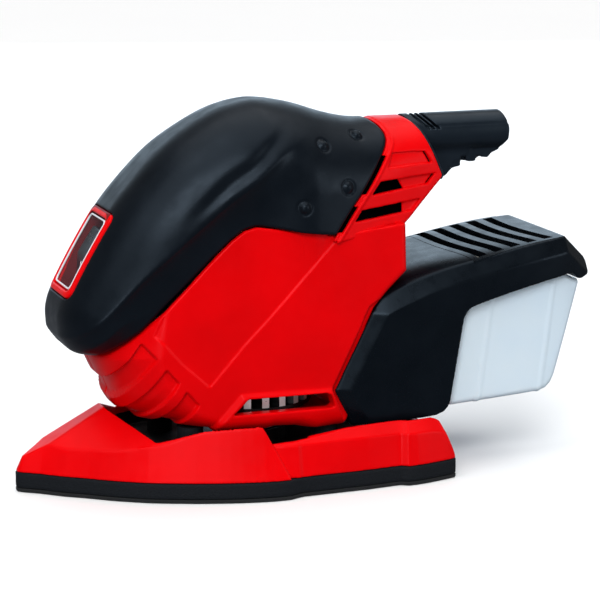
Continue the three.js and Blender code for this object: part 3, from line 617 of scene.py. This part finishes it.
# Tunnel faces behind the window take the darker red as painted shade.
bezel.data.polygons.foreach_set("material_index", ((su > -2.2) & (np.abs(spots[:, 1]) < 12.6)).astype(np.int32))
bow = np.maximum(U2 + 0.35, -(U2 + 1.0))
boot = rmax(bow, rbox2(g.Y, v, 11.45, 15.95, 2.2), 0.3)
# Thin ring along the boot's rim that carries the painted highlight.
boot_highlight_ring = np.sqrt((rbox2(g.Y, v, 10.9, 15.4, 2.1)) ** 2 + (U2 + 0.5) ** 2) - 0.46
place(mesh_field("switch_boot_clear", g, boot), BOOT, "housing", "switch_boot", slot="clear_plastic")
place(mesh_field("switch_boot_painted_highlight_ring", g, boot_highlight_ring), BOOT_PAINTED_HIGHLIGHT, "housing", slot="clear_plastic")
F = np.maximum(np.abs(u - 14.0) - 3.0, rbox2(g.Y, v, 8.3, 15.5, 1.0))
F = np.maximum(F, -np.maximum(rbox2(g.Y, v, 6.95, 13.4, 0.4), u - 16.0))
# The switch body is drawn in the darker red as painted shade inside the window.
place(mesh_field("switch_body_shell", g, F), RED_PAINTED_SHADE, "housing", "switch_body", slot="black_plastic")
lean = math.radians(-7.0)
un = u - 8.0
ur, vr = un * math.cos(lean) - v * math.sin(lean), un * math.sin(lean) + v * math.cos(lean)
top = -ur - 10.2 + 0.27 * np.sqrt(vr * vr + 0.3)
rock = rmax(np.maximum(top, ur - 3.0), rbox2(g.Y, vr, 6.7, 12.2, 0.6), 0.35)
place(mesh_field("switch_rocker_key", g, rock), SATIN, "rocker", "switch_rocker", slot="black_plastic")
# White bar on the rocker top: painted highlight.
place(mesh_field("switch_rocker_painted_highlight", g, np.maximum(rbox2(g.Y, vr + 5.0, 0.6, 2.8, 0.3), np.abs(top - 0.05) - 0.2)), ROCKER_PAINTED_HIGHLIGHT, "rocker", slot="black_plastic")

# ------------------------------------------------------------------ motor housing
FRONT = [(50, 28.9), (45.2, 30.4), (41.0, 33.6), (37.8, 38.8), (35.2, 45.0), (32.4, 51.0), (30.4, 56.6), (31, 62)]
SIDE_BODY = [(134, 25.8), (127, 25.6), (119.6, 24.9), (111, 27.2), (101.2, 27.8), (96.4, 26.7), (74, 27.4), (58, 28.2), (53.5, 28.6)] + \
    [tuple(p) for p in cr(FRONT, 5)] + [(40, 90), (60, 112), (90, 125), (131, 125), (159.4, 112), (159.5, 87.2),
                                        (151, 79.6), (144.8, 73.0), (141.4, 66), (138, 57), (135, 48), (134, 40)]
PANEL = [(72.0, 45.6), (60.9, 55.9), (55.1, 62.6), (50, 68), (60, 92), (80, 112), (131, 112), (130.7, 104.9), (119.9, 94.1), (97.9, 71.6), (87.6, 61.6), (73.2, 45.6)]
BROW = [(73.3, 22), (73.6, 27.9), (85.9, 41.8), (124.2, 41.2), (140, 41.0), (140, 22)]
SLOT = [(82.6, 33.2), (88.9, 39.3), (122.9, 38.9), (124.6, 38.0), (126.2, 33.2), (124, 32.9)]


def body_field():
    g = Grid(29, 163, 38.5, 23, 117)
    X, Y, Z = g.X, g.Y, g.Z
    side = g.side(SIDE_BODY)
    w = sm(Z, [(20, 31.5), (26, 32.6), (32, 34.2), (45, 35.2), (62, 35.5), (80, 35.2), (97, 34.2), (112, 33.4)])
    r = sm(X, [(25, 30), (46, 30), (60, 16), (74, 5.0), (90, 3.4), (125, 3.0), (165, 2.6)])
    # rear of the side walls draws in a little
    w = w - 1.6 * ramp(X, 118, 160)
    B0 = rmax(side, Y - w, r)
    # slide room for the box flanks
    flank = g.side([(134.2, 20), (125.8, 39.6), (142.6, 73.4), (146.5, 75.4), (200, 75.4), (200, 20)])
    B0 = cut(B0, np.maximum(flank - 0.5, 32.6 - Y), 0.3)
    # three wrap-around bands
    a = math.radians(58)
    t = Z * math.cos(a) - X * math.sin(a)
    s = X * math.cos(a) + Z * math.sin(a)
    bands = np.full(t.shape, -1.0, np.float32)
    for lo, hi in [(-12.2, -4.2), (-25.4, -17.2), (-37.6, -29.6)]:
        bands = np.maximum(bands, np.minimum(np.minimum(hi - t, t - lo), (79.4 + 0.316 * (t + 4.2)) - s))
    depth = 1.9 * ramp(bands, 0.0, 0.55)
    # sunk panel on each side, fading at its upper front
    pn = g.side(PANEL)
    fade = ramp(s, 62, 84)
    depth = depth + 0.65 * ramp(-pn, 0.0, 0.6) * (0.25 + 0.75 * fade) * ramp(Y, 24, 29)
    brow = g.side(BROW)
    depth = depth - 1.9 * np.clip(-brow / 2.2, 0, 1) * ramp(Y, 24, 29) * (1 - ramp(X, 131, 134))
    B = cut(B0 + depth, np.maximum(flank - 0.5, 32.6 - Y), 0.2)
    slot = g.side(SLOT)
    B = cut(B, np.maximum(slot - 0.2, 26 - Y), 0.35)
    # under the hood the wall steps in
    U, _ = upper_field(g)
    above = g.side(RIM + [(131, 190), (5, 190)])
    collar = g.side([(127, 104.2), (129.8, 104.6), (142.9, 105.9), (158.5, 107.4), (230, 107.4), (230, 190), (127, 190)])
    hooded = np.maximum(U + 2.95, -(above + 3.0))
    vis = rmax(B, -(np.minimum(above, collar) - 0.35), 0.35)
    out = np.minimum(vis, np.maximum(np.maximum(U + 3.0, -Z + 60), np.maximum(Z - np.where(X > 124, 101.0, 116.0), X - 158)) + 0.0)
    inner = np.minimum(B0 + 3.4, np.maximum(U + 5.6, X - 128))
    out = np.maximum(out, -(inner))
    # well under the motor, dust outlet hole
    out = np.maximum(out, -np.maximum(np.sqrt((X - 100) ** 2 + Y * Y) - 23.6, Z - 32))
    out = np.maximum(out, -np.maximum(np.sqrt(Y * Y + (Z - 52) ** 2) - 10.2, 120 - X))
    for fx, fy in [(68, 22), (126, 24)]:
        out = np.maximum(out, -np.maximum(np.sqrt((X - fx) ** 2 + (Y - fy) ** 2) - 5.9, Z - 27.6))
    u, v = window_axes(g)
    out = np.maximum(out, -np.maximum(rbox2(Y, v, 15.2, 20.2, 3.0), u - 22))
    return g, out


g, F = body_field()
left = place(mesh_field("housing_left_moulding", g, F, -1), RED, "housing", "housing_left", slot="red_plastic")
screws = [(58, 43), (131, 69.5), (150, 95)]
Fr = F
for sx, sz in screws:
    rt = np.sqrt((g.X - sx) ** 2 + (g.Z - sz) ** 2)
    Fr = np.maximum(Fr, -np.maximum(rt - 3.4, 20 - g.Y))
    Fr = np.minimum(Fr, np.maximum(np.maximum(rt - 5.0, -(rt - 3.4)), np.maximum(g.Y - 32.4, 6 - g.Y)))
right = place(mesh_field("housing_right_moulding", g, Fr, 1), RED, "housing", "housing_right", slot="red_plastic")


TAIL = [(168.4, 175), (168.8, 147.7), (170.8, 145.8), (173.0, 142.2), (176.2, 134.8), (180.8, 124.0), (179.8, 122.2), (165.0, 108.6), (161.0, 105.4), (160, 90), (260, 90), (260, 175)]


def collar_field():
    g = Grid(121, 186, 37, 97, 153, H * 0.8)
    X, Y, Z = g.X, g.Y, g.Z
    U, W = upper_field(g)
    seam = g.side(SEAM + [(-20, 170), (-20, 20), (123.6, 20)])
    foot = g.side([(120, 101.2), (130.4, 101.6), (143.5, 102.9), (159, 104.4), (230, 107.4), (230, 20), (120, 20)])
    tail = g.side(TAIL)
    shell = rmax(U, -(foot - 0.1), 0.5)
    shell = rmax(shell, -tail, 0.9)
    # the visible face stands behind the hood edge, with a black slot and small bridges
    lip = 0.4 * (1 - ramp(seam, 3.0, 3.3)) * (1 - ramp(Z, 139, 143))
    c = rmax(shell - lip, -(seam - 1.9), 0.3)
    c = np.maximum(c, -(U + 1.7 + 0.7 * ramp(seam, 4, 8)))
    ledge = np.maximum(np.maximum(U + 0.45, -(U + 2.4)), np.maximum(-(seam - 0.35), seam - 2.8))
    ledge = np.maximum(ledge, -(foot - 0.2))
    tabs = np.minimum(np.minimum(np.abs(Z - 117.4) - 2.3, np.abs(Z - 103.6) - 1.7), 134.4 - Z)
    c = np.minimum(c, np.maximum(ledge, tabs))
    for pts, d, end in [([(156.7, 135.2), (172.6, 134.7), (175.5, 129.8), (153.5, 129.4)], 0.9, [(171.7, 134.6), (172.5, 134.6), (175.3, 129.9), (174.4, 129.9)]),
                        ([(149.2, 124.2), (177.2, 125.2), (173.4, 121.1), (144.8, 119.2)], 1.3, [(176.2, 125.1), (177.1, 125.1), (173.3, 121.2), (172.5, 121.2)]),
                        ([(139.7, 113.5), (169.4, 115.3), (165.0, 110.9), (136.2, 109.0)], 1.3, [(168.5, 115.1), (169.3, 115.2), (165.0, 111.0), (164.2, 111.0)])]:
        c = cut(c, np.maximum(np.maximum(g.side(pts), -(U + d)), 8 - Y), 0.22)
        c = cut(c, np.maximum(g.side(end), 8 - Y), 0.15)
    c = cut(c, np.maximum(g.side([(149.2, 124.2), (158.3, 124.5), (161.0, 120.3), (144.8, 119.2)]), 8 - Y), 0.2)
    c = cut(c, np.maximum(g.side([(139.7, 113.5), (160.4, 114.7), (160.4, 110.6), (136.2, 109.0)]), 8 - Y), 0.2)
    # closed at the back, under the cord sleeve
    wall = np.maximum(np.maximum(U + 1.2, np.abs(tail - 1.5) - 1.1), np.maximum(Z - 124.5, 104.0 - Z))
    c = np.minimum(c, wall)
    return g, c, U, tail


g, F, U, tail = collar_field()
place(mesh_field("vent_collar_moulding", g, F), RED, "housing", "vent_collar", slot="red_plastic")
# Near-black sheet inside the collar, behind its slots, as painted shade for the dark interior.
collar_shade_sheet = np.maximum(np.maximum(U + 3.3, -(U + 4.7)), np.maximum(-(tail - 0.7), 124.0 - g.X))
collar_shade_sheet = np.maximum(collar_shade_sheet, 99.0 - g.Z)
place(mesh_field("vent_collar_painted_shade_sheet", g, collar_shade_sheet), PAINTED_SHADE_SHEET, "housing", slot="black_plastic")


def sleeve_field():
    g = Grid(140, 219, 20, 114, 152, H * 0.85)
    X, Y, Z = g.X, g.Y, g.Z
    U, _ = upper_field(g)
    tail = g.side(TAIL)
    barrel = np.maximum(np.sqrt(Y ** 2 + (Z - 139.5) ** 2) - 8.7, np.maximum(X - 216.4, 143 - X))
    # root that fills the collar's mouth and a narrow web that sweeps up underneath
    sweep = g.side([(150, 150), (150, 118), (181, 118.4), (185.0, 119.4), (188.2, 121.4), (189.8, 124.0), (191.6, 126.2), (194.8, 127.0),
                    (197.0, 129.2), (200, 130.2), (200, 150)])
    web = rmax(np.maximum(np.maximum(sweep, X - 204), Z - 140), Y - 5.6, 2.2)
    plug = rmax(U + 1.0, -tail - 1.3, 1.0)
    plug = np.maximum(np.maximum(plug, Z - 147.6), 122.2 - Z)
    s = rmin(rmin(barrel, web, 1.6), plug, 0.8)
    s = np.maximum(s, np.where(tail < 0.0, -INF, U + 2.75))
    # bevelled end
    s = rmax(s, g.side([(120, 100), (120, 160), (211.4, 160), (216.3, 141.5), (216.1, 136.2), (212.8, 131.6), (207, 124), (207, 100)]), 0.7)
    # three slanting grooves over the root
    for k in range(3):
        line = X - (172.6 + k * 2.3) - (148.2 - Z) * 1.05
        groove = np.maximum(np.abs(line) * 0.69 - 0.42, -s - 1.3)
        s = cut(s, np.maximum(groove, 142.0 - Z), 0.15)
    # underside notches between moulded ribs
    ribs = np.maximum(np.abs(Y) - 5.2, g.side([(188, 121.6), (191, 124.6), (194.5, 125.3), (196.0, 127.4), (199.5, 127.0), (202.4, 127.2),
                                              (204.2, 128.6), (207.6, 128.4), (209.2, 130.2), (212.6, 131.6), (212, 136), (188, 134)]))
    s = rmin(s, ribs, 0.6)
    for xa, xb in [(194.9, 197.4), (202.0, 204.4)]:
        s = cut(s, np.maximum(np.maximum(xa - X, X - xb), np.maximum(Z - 129.3, 3.1 - np.abs(Y))), 0.35)
    # fine parting line
    s = cut(s, np.maximum(np.sqrt((Z - 143.2) ** 2 + s ** 2) - 0.28, 178 - X), 0.1)
    # cord hole
    s = cut(s, np.maximum(np.sqrt(Y ** 2 + (Z - 139.9) ** 2) - 3.7, 140 - X), 0.4)
    return g, s


g, F = sleeve_field()
place(mesh_field("cord_sleeve_rubber", g, F), RUBBER, "housing", "cord_sleeve", slot="soft_grip")

# ------------------------------------------------------------------ dust box
TOPLINE = [(143.5, 72.9), (150, 76.4), (158.3, 79.9), (170, 84.2), (181, 87.2), (191, 89.4), (205, 92.2), (219, 94.6), (233.4, 96.4)]
FRAME_SIDE = [(134.5, 23.9), (126.0, 39.6)] + [tuple(p) for p in cr(TOPLINE, 4)] + \
    [(244.3, 86.4), (245.2, 84.6), (245.3, 80.4), (244.6, 79.2), (241.4, 77.8), (239.6, 78.0), (236.6, 80.4), (234.4, 80.8), (222, 78.8), (210, 76.3),
     (198, 73.4), (190, 71.2), (187.2, 70.2), (185.4, 68.6), (184.0, 66.0), (178.2, 31.2), (177.2, 28.6), (175.2, 26.6), (172, 25.4), (167.9, 24.9)]
FLAT = [(126, 36.2), (150, 36.4), (190, 36.2), (215, 35.2), (228, 33.6), (236, 31.4), (246, 28.2)]


ARCH = [(126, 0), (143, 3.0), (150, 4.2), (160, 4.4), (175, 3.2), (190, 2.0), (205, 1.3), (220, 0.7), (234, 0.2), (250, 0)]


def frame_field():
    g = Grid(123, 248, 38.5, 21, 103)
    X, Y, Z = g.X, g.Y, g.Z
    W = sm(X, FLAT)
    side = g.side(FRAME_SIDE)
    # crowned roof
    tl = cr(TOPLINE, 4)
    tx = np.concatenate([[126, 143.5], tl[1:, 0], [244.3, 250]])
    tz = np.concatenate([[39.6, 72.9], tl[1:, 1], [86.4, 81.0]])
    topz = np.interp(g.x, tx, tz).astype(np.float32)[:, None, None]
    slope = np.gradient(topz[:, 0, 0], g.h)[:, None, None]
    roofz = topz + sm(X, ARCH) * (1 - np.clip(Y / 33.0, 0, 1) ** 6)
    roof = (Z - roofz) / np.sqrt(1 + np.clip(slope, -2, 2) ** 2)
    rest = g.side([(134.5, 23.9), (126.0, 39.6), (143.5, 72.9), (143.5, 130), (244.3, 130), (244.3, 86.4), (245.2, 84.6), (245.3, 80.4)] + FRAME_SIDE[FRAME_SIDE.index((244.6, 79.2)):])
    body = rmax(np.maximum(rest, roof), Y - W, 0.5)
    # bevel along the top side edge and the strip facing the housing
    bev = (Y - W + 3.9 + (Z - topz) * 0.62) * 0.84
    body = rmax(body, bev, 0.22)
    strip = g.side([(134.5, 23.9), (126.0, 39.6), (143.5, 72.9), (100, 90), (100, 220), (400, 220), (400, -100), (134.5, -100)])
    body = rmax(body, (Y - (W - 2.9) - 0.42 * (-strip)) * 0.92, 0.22)
    # inside
    ins = g.side([(90, 26.6), (167.6, 27.5), (174.2, 30.4), (180.4, 66.4), (183.4, 71.2), (187.4, 73.6), (210, 79.0), (233.8, 83.3), (238.6, 81.2),
                  (242.3, 82.4), (242.2, 84.9), (232.6, 93.6), (212, 90.2), (191, 86.4), (175, 82.4), (158.5, 77.2), (150, 73.6), (136, 45), (90, 45)])
    hollow = np.maximum(ins, Y - (W - 2.8))
    body = np.maximum(body, -hollow)
    room = g.side([(90, 20), (134.3, 20), (134.4, 40), (135.4, 48), (138.4, 57), (141.9, 66), (145.2, 73), (151.4, 80), (160.0, 87.2), (160.0, 130), (90, 130)])
    body = np.maximum(body, -np.maximum(room, Y - 33.05))
    body = np.maximum(body, -np.maximum(np.sqrt(Y * Y + (Z - 52) ** 2) - 10.6, 120 - X))
    below = g.side([(186.6, 60), (186.6, 82), (236, 85.2), (236, 60)])
    body = np.maximum(body, -np.maximum(below, Y - 28.4))
    return g, body


def roof_opening(full, Yf):
    """Room for the slotted plate."""
    t = Yf / (30.6 - 0.09 * (g.X - 191))
    u_ = g.X + 2.4 * (1 - t * t) + 1.9 * (1 + t) - 0.8
    hole = np.maximum(np.maximum(np.abs(u_ - 209.4) - 19.3, (np.abs(t) - 1.02) * 29), 83 - g.Z)
    return np.maximum(full, -hole).astype(np.float32)


def roof_plate():
    """Slotted plate of the roof: five bowed slots across, built cell by cell."""
    tl = cr(TOPLINE, 4)
    edges = [188.4] + [191.3 + 8.0 * (i // 2) + 4.5 * (i % 2) for i in range(10)] + [230.4]
    us, void = [], []
    for k in range(len(edges) - 1):
        for q in range(3):
            us.append(edges[k] + (edges[k + 1] - edges[k]) * q / 3)
            void.append(k % 2 == 1)
    us.append(edges[-1])
    ts = np.concatenate([[-1.07], np.linspace(-1, 1, 33), [1.07]])
    u_, t = np.array(us)[:, None], ts[None, :]
    x = u_ - 2.4 * (1 - t * t) - 1.9 * (1 + t) + 0.8
    y = t * (30.6 - 0.09 * (u_ - 191))
    z = np.interp(x, tl[:, 0], tl[:, 1]) + sm(x, ARCH) * (1 - np.clip(np.abs(y) / 33.0, 0, 1) ** 6) + 0.12
    nu, nt_ = z.shape
    v = np.concatenate([np.stack([x, y, z], -1).reshape(-1, 3), np.stack([x, y, z - 2.6], -1).reshape(-1, 3)])
    solid = np.array([[not (void[i] and 0 < j < nt_ - 2) for j in range(nt_ - 1)] for i in range(nu - 1)])

    def full_cell(i, j):
        return 0 <= i < nu - 1 and 0 <= j < nt_ - 1 and solid[i, j]

    n, f = nu * nt_, []
    for i in range(nu - 1):
        for j in range(nt_ - 1):
            if not solid[i, j]:
                continue
            c = [i * nt_ + j, (i + 1) * nt_ + j, (i + 1) * nt_ + j + 1, i * nt_ + j + 1]
            f.append(c)
            f.append([k + n for k in reversed(c)])
            for (p, q), other in zip(((0, 1), (1, 2), (2, 3), (3, 0)), ((i, j - 1), (i + 1, j), (i, j + 1), (i - 1, j))):
                if not full_cell(*other):
                    f.append([c[q], c[p], c[p] + n, c[q] + n])
    used = sorted({k for q in f for k in q})
    seat = {k: m for m, k in enumerate(used)}
    o = make_mesh("box_frame_slot_plate", v[used], [[seat[k] for k in q] for q in f])
    o.data.set_sharp_from_angle(angle=math.radians(35))
    return o


g, F = frame_field()
place(mesh_field("box_frame_moulding", g, F, carve=roof_opening), SATIN, "dust_box", "box_frame", slot="soft_grip")
place(roof_plate(), SATIN, "dust_box", slot="soft_grip")

BIN_SIDE = [(178.9, 31.6), (179.2, 28.6), (180.6, 27.0), (222.2, 29.4), (226.2, 30.4), (228.8, 32.6), (230.6, 36.0), (242.6, 75.4),
            (241.9, 76.9), (239.6, 77.2), (236.4, 79.5), (234.4, 80.0), (222, 78.0), (210, 75.4), (198, 72.6), (188.4, 70.1), (185.9, 68.2), (184.4, 65.0)]


def bin_field():
    g = Grid(176, 246, 33.5, 24, 84)
    X, Y, Z = g.X, g.Y, g.Z
    side = g.side(BIN_SIDE)
    W = sm(X, [(170, 31.0), (200, 30.8), (220, 30.2), (232, 28.6), (240, 26.4), (248, 23.5)])
    lean = (78 - Z) * 0.018
    out = rmax(side, Y - W + lean, 2.6)
    # upright ribs moulded into the flanks
    for xr in (196.0, 225.0):
        out = out - 0.35 * (1 - ramp(np.abs(X - xr - (Z - 50) * 0.12), 0.5, 1.6)) * ramp(Y, 20, 26)
    shell = np.maximum(out, -np.maximum(out + 1.9, -INF))
    lid = np.maximum(g.side([(186.6, 66.4), (187, 120), (239, 120), (238.6, 73.4)]), Y - W + 2.0 + lean)
    shell = np.maximum(shell, -lid)
    shell = np.maximum(shell, -np.maximum(np.sqrt(Y * Y + (Z - 52) ** 2) - 9, X - 192))
    return g, shell


g, F = bin_field()
place(mesh_field("dust_bin_clear", g, F), FROST, "bin", "dust_bin", slot="clear_plastic")


# ------------------------------------------------------------------ fan with curved blades
def fan_mesh():
    v, f = [], []

    def ringwall(r0, r1, z0, z1, n=96):
        b = len(v)
        for i in range(n):
            t = 2 * math.pi * i / n
            for r, z in ((r0, z0), (r1, z0), (r1, z1), (r0, z1)):
                v.append((100 + r * math.cos(t), r * math.sin(t), z))
        for i in range(n):
            a, c = b + 4 * i, b + 4 * ((i + 1) % n)
            for k in range(4):
                f.append([a + k, c + k, c + (k + 1) % 4, a + (k + 1) % 4])

    ringwall(4.4, 27.2, 31.0, 32.6)
    ringwall(4.4, 8.0, 32.6, 41.0)
    for i in range(22):
        t0 = 2 * math.pi * (i + 0.35) / 22
        b = len(v)
        n = 8
        for k in range(n + 1):
            r = 9.5 + (26.8 - 9.5) * k / n
            t = t0 + 0.30 * (k / n) ** 1.3
            c, s = math.cos(t), math.sin(t)
            w = 0.75 + (0.75 * k / n)
            for side_, z in ((-w, 32.5), (w, 32.5), (w, 41.4), (-w, 41.4)):
                v.append((100 + r * c - side_ * s, r * s + side_ * c, z))
        for k in range(n):
            a, c = b + 4 * k, b + 4 * (k + 1)
            for q in range(4):
                f.append([a + q, a + (q + 1) % 4, c + (q + 1) % 4, c + q])
        f.append([b + 3, b + 2, b + 1, b])
        e = b + 4 * n
        f.append([e, e + 1, e + 2, e + 3])
    me = bpy.data.meshes.new("fan_blades")
    me.from_pydata([((x - OX) / 1000, y / 1000, z / 1000) for x, y, z in v], [], f)
    me.update()
    import bmesh
    bm = bmesh.new()
    bm.from_mesh(me)
    bmesh.ops.recalc_face_normals(bm, faces=bm.faces)
    bm.to_mesh(me)
    bm.free()
    o = bpy.data.objects.new("fan_blades", me)
    bpy.context.scene.collection.objects.link(o)
    for p in me.polygons:
        p.use_smooth = True
    me.set_sharp_from_angle(angle=math.radians(35))
    return o


fan = place(fan_mesh(), ALLOY, "rotor", "fan", slot="cast_alloy")
# All fan faces except the blade tips take the dark steel as painted shade between the fins.
fan.data.materials.append(STEEL_PAINTED_SHADE)
for q in fan.data.polygons:
    c = q.center
    if math.hypot(c.x - (100 - OX) / 1000.0, c.y) < 0.0266 or c.z > 0.0413 or c.z < 0.0327:
        q.material_index = 1

# ------------------------------------------------------------------ carried-over nodes
LOOK = {"steel": STEEL, "cast_alloy": ALLOY, "copper": COPPER, "foam_rubber": FOAM, "black_plastic": BLACK,
        "red_plastic": RED, "soft_grip": GRIP, "clear_plastic": FROST, "filter_paper": PAPER}
slot_of = {s["node"]: s["material_slot"] for s in frame["record"]["subparts"]}
for name, o in frame["nodes"].items():
    m = LOOK.get(slot_of.get(name), BLACK)
    # Parts in the pocket under the housing take the dark steel as painted shade.
    if name in ("eccentric_weight", "eccentric_bearing", "bearing_screw", "lower_bearing", "base_plate", "stator_core", "fan_baffle", "bearing_bridge", "armature_core"):
        m = STEEL_PAINTED_SHADE
    o.data.materials.clear()
    o.data.materials.append(m)

# ------------------------------------------------------------------ stage and light
bpy.ops.mesh.primitive_plane_add(size=40.0, location=(0, 0, -0.0002))
floor = bpy.context.object
floor.name = "floor"
fm, fnt, fbs = node_mat("floor_pale")
fseen = fnt.nodes.new("ShaderNodeLightPath")
fgrain = noise(fnt, coords(fnt), 3.0, 2.0)
fpale = mixcol(fnt, fgrain, (0.93, 0.93, 0.935), (0.95, 0.95, 0.95))
fdull = fnt.nodes.new("ShaderNodeMix")
fdull.data_type = "RGBA"
fdull.inputs[6].default_value = (0.20, 0.21, 0.23, 1)
fnt.links.new(fseen.outputs["Is Camera Ray"], fdull.inputs[0])
fnt.links.new(fpale, fdull.inputs[7])
fnt.links.new(fdull.outputs[2], fbs.inputs["Base Color"])
fbs.inputs["Roughness"].default_value = 0.6
fbs.inputs["Specular IOR Level"].default_value = 0.2
floor.data.materials.append(fm)

world = bpy.data.worlds.new("studio")
bpy.context.scene.world = world
world.use_nodes = True
wb = world.node_tree.nodes["Background"]
wb.inputs[0].default_value = (1.0, 1.0, 1.0, 1)
wt = world.node_tree
seen = wt.nodes.new("ShaderNodeLightPath")
plain = wt.nodes.new("ShaderNodeBackground")
plain.inputs[0].default_value = (1.0, 1.0, 1.0, 1)
plain.inputs[1].default_value = 1.0
pick = wt.nodes.new("ShaderNodeMixShader")
wt.links.new(seen.outputs["Is Camera Ray"], pick.inputs[0])
wt.links.new(wb.outputs[0], pick.inputs[1])
wt.links.new(plain.outputs[0], pick.inputs[2])
wt.links.new(pick.outputs[0], next(n for n in wt.nodes if n.type == "OUTPUT_WORLD").inputs[0])
wb.inputs[1].default_value = 0.22


def area(name, loc, aim, size, power, size_y=None):
    d = bpy.data.lights.new(name, "AREA")
    d.shape = "RECTANGLE"
    d.size, d.size_y = size, size_y or size
    d.energy = power
    o = bpy.data.objects.new(name, d)
    bpy.context.scene.collection.objects.link(o)
    o.location = loc
    o.rotation_euler = (Vector(aim) - Vector(loc)).to_track_quat("-Z", "Y").to_euler()
    return o


def sun(name, aim, spread, strength):
    d = bpy.data.lights.new(name, "SUN")
    d.angle = math.radians(spread)
    d.energy = strength
    o = bpy.data.objects.new(name, d)
    bpy.context.scene.collection.objects.link(o)
    o.rotation_euler = (-Vector(aim)).to_track_quat("-Z", "Y").to_euler()
    return o


sun("key", (-0.42, -0.95, 0.80), 26.0, 1.75)
sun("overhead", (0.10, 0.05, 1.0), 70.0, 1.75)
area("window", (-0.55, -0.25, 0.75), (0, 0, 0.09), 0.35, 1.8, 0.8)
area("backdrop", (0.5, 1.6, 0.55), (0, 0, 0.08), 2.2, 9.0, 0.9).data.color = (0.62, 0.82, 1.0)
area("low_front", (-0.70, -1.10, 0.10), (0, 0, 0.07), 0.26, 2.6, 0.20)
area("right_front", (0.95, -0.85, 0.34), (0.05, 0, 0.07), 0.5, 2.6)
vs = bpy.context.scene.view_settings
vs.view_transform = "Standard"
vs.look = "None"
